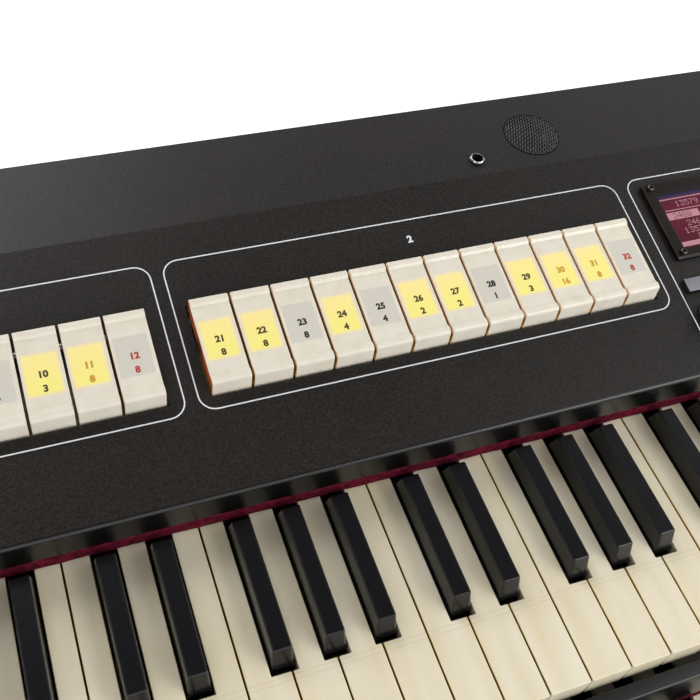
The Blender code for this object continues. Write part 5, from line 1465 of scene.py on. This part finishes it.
@dataclass
class FeltStrips:
    """The felt above the keys, a strip whose front and foot swell and ripple a little."""

    front: float = -1.1 * MM
    back: float = 7.5 * MM
    low: float = 1.85 * MM
    high: float = 10.6 * MM
    ripple: float = 0.12 * MM
    stations: int = 900

    def build(self) -> None:
        """Builds both strips: a rounded box section carried along X, moved by two crossed waves."""
        finish = felt_finish()
        flat = rounded(rectangle(self.front, self.back, self.low, self.high), 0.9 * MM)
        x = np.linspace(-KEYBOARD_HALF, KEYBOARD_HALF, self.stations)[:, None]
        wave = self.ripple * np.sin(x * 210) * np.sin(x * 67 + 1.0)
        fuzz = self.ripple * 0.5 * np.sin(x * 1310 + 3 * np.sin(x * 350))
        to_front = (self.back - flat[:, 0]) / (self.back - self.front)
        to_foot = (self.high - flat[:, 1]) / (self.high - self.low)
        for manual, line in FELT_LINES.items():
            y = line + flat[:, 0] + (wave + fuzz) * to_front
            z = KEY_TOPS[manual] + flat[:, 1] + (wave - fuzz) * to_foot
            shell = Shell()
            shell.loft(np.stack([np.broadcast_to(x, y.shape), y, z], -1))
            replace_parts(shell.build(f"felt_strip_{manual}_nap", [finish], smooth=60.0), f"felt_strip_{manual}")


@dataclass
class Case:
    """The boards, rails, sheet and feet."""

    nosing_edge: float = 2.4 * MM
    nosing_seat: float = -2.3 * MM
    nosing_top: float = 2.2 * MM
    lip: tuple[float, float] = (2.0 * MM, 3.4 * MM)

    def build_nosing(self, lacquer: bpy.types.Material, coat: bpy.types.Material) -> None:
        """The nosing's section carried along X, and the sheet's thin front lip that lies on it.

        Args:
            lacquer: The nosing's finish.
            coat: The sheet's finish.
        """
        low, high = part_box("panel_nosing")
        reach = (high[1] - low[1]) / math.cos(PANEL.slope) + self.nosing_seat * math.tan(PANEL.slope)
        s = [reach, self.nosing_top, self.nosing_top, 0.0]
        h = [self.nosing_seat, self.nosing_seat, 0.0, 0.0]
        corners = [(low[1], low[2]), (high[1], low[2]), *PANEL.points(0.0, s, h)[:, 1:]]
        radii = np.array([0.5, 0.3, 0.1, 0.1, 0.1, self.nosing_edge / MM]) * MM
        s, h = np.array(rectangle(*self.lip, -0.15 * MM, 0.03 * MM)).T
        lip = PANEL.points(0.0, s, h)[:, 1:]
        pieces = []
        for name, flat, finish in (
            ("panel_nosing_edge", rounded(corners, radii, steps=8), lacquer),
            ("top_panel_lip", lip, coat),
        ):
            shell = Shell()
            shell.loft(np.stack([np.column_stack([np.full(len(flat), x), flat]) for x in (low[0], high[0])]))
            pieces.append(shell.build(name, [finish], smooth=30.0))
        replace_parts(pieces[0], "panel_nosing")

    def build(self, nodes: dict[str, bpy.types.Object]) -> None:
        """Rounds the edges of the boards and gives each its finish."""
        lacquer = PIANO_LACQUER.build()
        paint = SATIN_PAINT.build()
        coat = POWDER_COAT.build()
        dress(nodes, ["top_panel"], coat)
        self.build_nosing(lacquer, coat)
        for node in ("cheek_block_left", "cheek_block_right", "piston_rail"):
            cad_copy(nodes, node, [lacquer], radius=0.8 * MM)
        for node in ("side_panel_left", "side_panel_right", "key_slip", "base_board", "rear_panel"):
            cad_copy(nodes, node, [paint], radius=1.2 * MM)
        dress(nodes, ["keybed_upper", "keybed_lower", "manual_support_rail"], PLY.build())
        rubber = RUBBER.build()
        for side in ("left", "right"):
            cad_copy(nodes, f"foot_strip_{side}", [rubber], radius=2.0 * MM)


@dataclass
class Deck:
    """The grilles, loudspeakers and ring socket on the rear deck."""

    grille_s: float = 27.2 * MM
    radius: float = 18.6 * MM
    dome: float = 2.6 * MM
    wire_pitch: float = 1.7 * MM
    wire_radius: float = 0.26 * MM
    weave: float = 0.1 * MM
    turn: float = math.radians(22)
    socket_s: float = 12.7 * MM
    notches: int = 8

    def _wires(self, shell: Shell, frame: Matrix, angle: float, over: int) -> None:
        """Adds one set of parallel wires that follow the dome and weave over and under.

        A wire's height is the dome's at that radius, a quarter cosine, plus a wave of one pitch
        that starts up in one wire and down in the next.

        Args:
            shell: Where they go.
            frame: The grille's frame on the deck.
            angle: The wires' direction.
            over: 1 or -1, the sign of the wave.
        """
        reach = self.radius - 0.15 * MM
        count = int(reach / self.wire_pitch)
        along = np.array([math.cos(angle), math.sin(angle)])
        across = np.array([-math.sin(angle), math.cos(angle)])
        turn = np.linspace(0, 2 * math.pi, 5, endpoint=False)
        for number in range(-count, count + 1):
            offset = number * self.wire_pitch
            half = math.sqrt(reach**2 - offset**2)
            u = np.linspace(-half, half, max(5, int(half / self.wire_pitch * 8)))
            height = self.dome * np.cos(np.hypot(u, offset) / self.radius * math.pi / 2)
            height += over * (-1) ** number * self.weave * np.cos(math.pi * u / self.wire_pitch)
            side = offset + self.wire_radius * np.cos(turn)[None, :, None]
            flat = u[:, None, None] * along + side * across
            up = height[:, None] + self.wire_radius * np.sin(turn)
            shell.loft(placed(np.concatenate([flat, up[..., None]], axis=-1), frame))

    def _build_grille(self, side: str, finishes: dict[str, bpy.types.Material]) -> None:
        """Makes one grille with the loudspeaker and its screws below it.

        Args:
            side: left or right.
            finishes: The wire, black, cone and steel finishes.
        """
        low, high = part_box(f"tweeter_grille_{side}")
        frame = DECK.matrix((low[0] + high[0]) / 2, self.grille_s)
        shell = Shell()
        self._wires(shell, frame, math.pi / 2 - self.turn, 1)
        self._wires(shell, frame, -self.turn, -1)
        rim = ((18.5, -1.9), (18.5, 0.3), (18.3, 0.6), (17.9, 0.5), (17.8, -1.9))
        shell.loft(turned(rim, 64, frame), tube=True, pick=1)
        made = shell.build(f"tweeter_grille_{side}_mesh", [finishes["wire"], finishes["black"]], smooth=60.0)
        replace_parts(made, f"tweeter_grille_{side}")
        flange = ((0.4, -19.2), (14.9, -19.2), (14.9, -5.3), (19.8, -5.3), (19.8, -2.5), (17.0, -2.5))
        cone = ((15.2, -2.6), (14.2, -2.5), (12.6, -2.7), (9.4, -4.6), (8.6, -3.6))
        cap = [(8.0 * math.cos(a), -3.6 + 1.2 * math.sin(a)) for a in np.linspace(0.1, 1.52, 9)]
        speaker = Shell()
        speaker.loft(turned((*flange, *cone, *cap), 48, frame))
        head = ((1.3, -2.6), (1.3, -2.5), (1.0, -2.4), (0.3, -2.4))
        for quarter in range(4):
            angle = math.radians(49 + 90 * quarter)
            spot = Matrix.Translation((16.6 * MM * math.cos(angle), 16.6 * MM * math.sin(angle), 0))
            speaker.loft(turned(head, 12, frame @ spot), pick=1)
        made = speaker.build(f"tweeter_{side}_cone", [finishes["cone"], finishes["steel"]])
        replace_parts(made, f"tweeter_{side}")

    def _build_socket(self, finishes: Sequence[bpy.types.Material]) -> None:
        """Makes the ring socket: a turned black barrel whose bright ring is notched round its axis.

        Args:
            finishes: The ring's finish and the barrel's.
        """
        low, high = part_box("accessory_socket")
        frame = DECK.matrix((low[0] + high[0]) / 2, self.socket_s)
        barrel = ((3.42, -13.9), (4.05, -13.9), (4.05, 0.3))
        ring = ((4.8, 0.3), (4.85, 1.2), (4.65, 1.8), (4.15, 2.15), (3.65, 2.0), (3.42, 1.5))
        rings = turned(barrel + ring, self.notches * 8, Matrix.Identity(4))
        angle = np.arctan2(rings[..., 1], rings[..., 0])
        radius = np.hypot(rings[..., 0], rings[..., 1])
        notch = np.clip(np.cos(self.notches * angle) - 0.3, 0, 1)
        depth = np.array([0, 0, 0, 0.2, 0.45, 0.5, 0.3, 0, 0])[:, None] * notch * MM
        rings[..., :2] *= (1 - depth / radius)[..., None]
        rings[..., 2] -= depth * 0.8
        rows, columns = rings.shape[:2]
        dark = [0] * rows
        for row in (0, 1, 2, 3, rows - 1):
            dark[row] = 1
        shell = Shell()
        shell.add(placed(rings, frame), loft_faces(rows, columns, True), np.repeat(dark, columns).tolist())
        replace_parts(shell.build("accessory_socket_ring", finishes), "accessory_socket")

    def build(self) -> None:
        """Builds both grilles with their loudspeakers, and the ring socket."""
        kinds = {"wire": GRILLE_WIRE, "black": BLACK_ABS, "cone": CONE_PAPER, "steel": ZINC_STEEL}
        finishes = {name: kind.build() for name, kind in kinds.items()}
        for side in ("left", "right"):
            self._build_grille(side, finishes)
        self._build_socket([CHROME.build(), finishes["black"]])


@dataclass
class Electrics:
    """The inlet, switch, board and supply, and the nuts and screws on the rear panel."""

    jack_xs: tuple[float, ...] = (87.0 * MM, 109.0 * MM, 131.0 * MM, 153.0 * MM)
    jack_height: float = 67.3 * MM
    jack_depth: float = 27.0 * MM
    screw_xs: tuple[float, ...] = (-470.0 * MM, -235.0 * MM, 0.0, 235.0 * MM, 470.0 * MM)
    screw_zs: tuple[float, ...] = (40.0 * MM, 178.0 * MM)

    def build(self, nodes: dict[str, bpy.types.Object]) -> None:
        """Gives the electrical pieces their finishes and adds the nuts and screws behind them."""
        steel, black = ZINC_STEEL.build(), BLACK_ABS.build()
        dress(nodes, ["mains_inlet", "power_switch"], black)
        dress(nodes, ["tab_chassis", "power_supply"], steel)
        block_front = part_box("main_board")[1][1] - self.jack_depth
        cad_copy(
            nodes, "main_board", [SOLDER_MASK.build(), black], pick=lambda middle: int(middle.y > block_front)
        )
        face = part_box("rear_panel")[1][1]
        backwards = Matrix.Rotation(-math.pi / 2, 4, "X")
        nuts, screws = Shell(), Shell()
        profile = ((3.4, 0.05), (6.2, 0.05), (6.2, 1.2), (5.7, 1.6), (3.8, 1.6), (3.4, 1.3))
        for x in self.jack_xs:
            frame = Matrix.Translation((x, face, self.jack_height)) @ backwards
            nuts.loft(turned(profile, 24, frame), tube=True)
        nuts.build("rear_socket_nuts", [steel])
        profile = ((3.2, 0.05), (3.1, 0.6), (2.4, 1.2), (1.1, 1.5), (0.9, 0.7), (0.2, 0.6))
        for x in self.screw_xs:
            for z in self.screw_zs:
                screws.loft(turned(profile, 20, Matrix.Translation((x, face, z)) @ backwards))
        screws.build("rear_panel_screws", [DARK_STEEL.build()])


def main() -> None:
    """Loads the frame and builds the camera, the studio and each sub-assembly in order."""
    logging.basicConfig(level=logging.INFO, format="%(name)s: %(message)s")
    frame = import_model()
    nodes = frame["nodes"]
    bpy.context.scene.view_settings.view_transform = "Standard"
    PhotoCamera().build()
    Studio().build()
    ink = WHITE_INK.build()
    Case().build(nodes)
    Keys().build(nodes)
    FeltStrips().build()
    StopTabs().build()
    PanelPrint().build(ink)
    Display().build(nodes)
    Controls().build(nodes, ink)
    Deck().build()
    Electrics().build(nodes)
    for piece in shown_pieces():
        log.info("%s: %d faces", piece.name, len(piece.data.polygons))


if __name__ == "__main__":
    main()
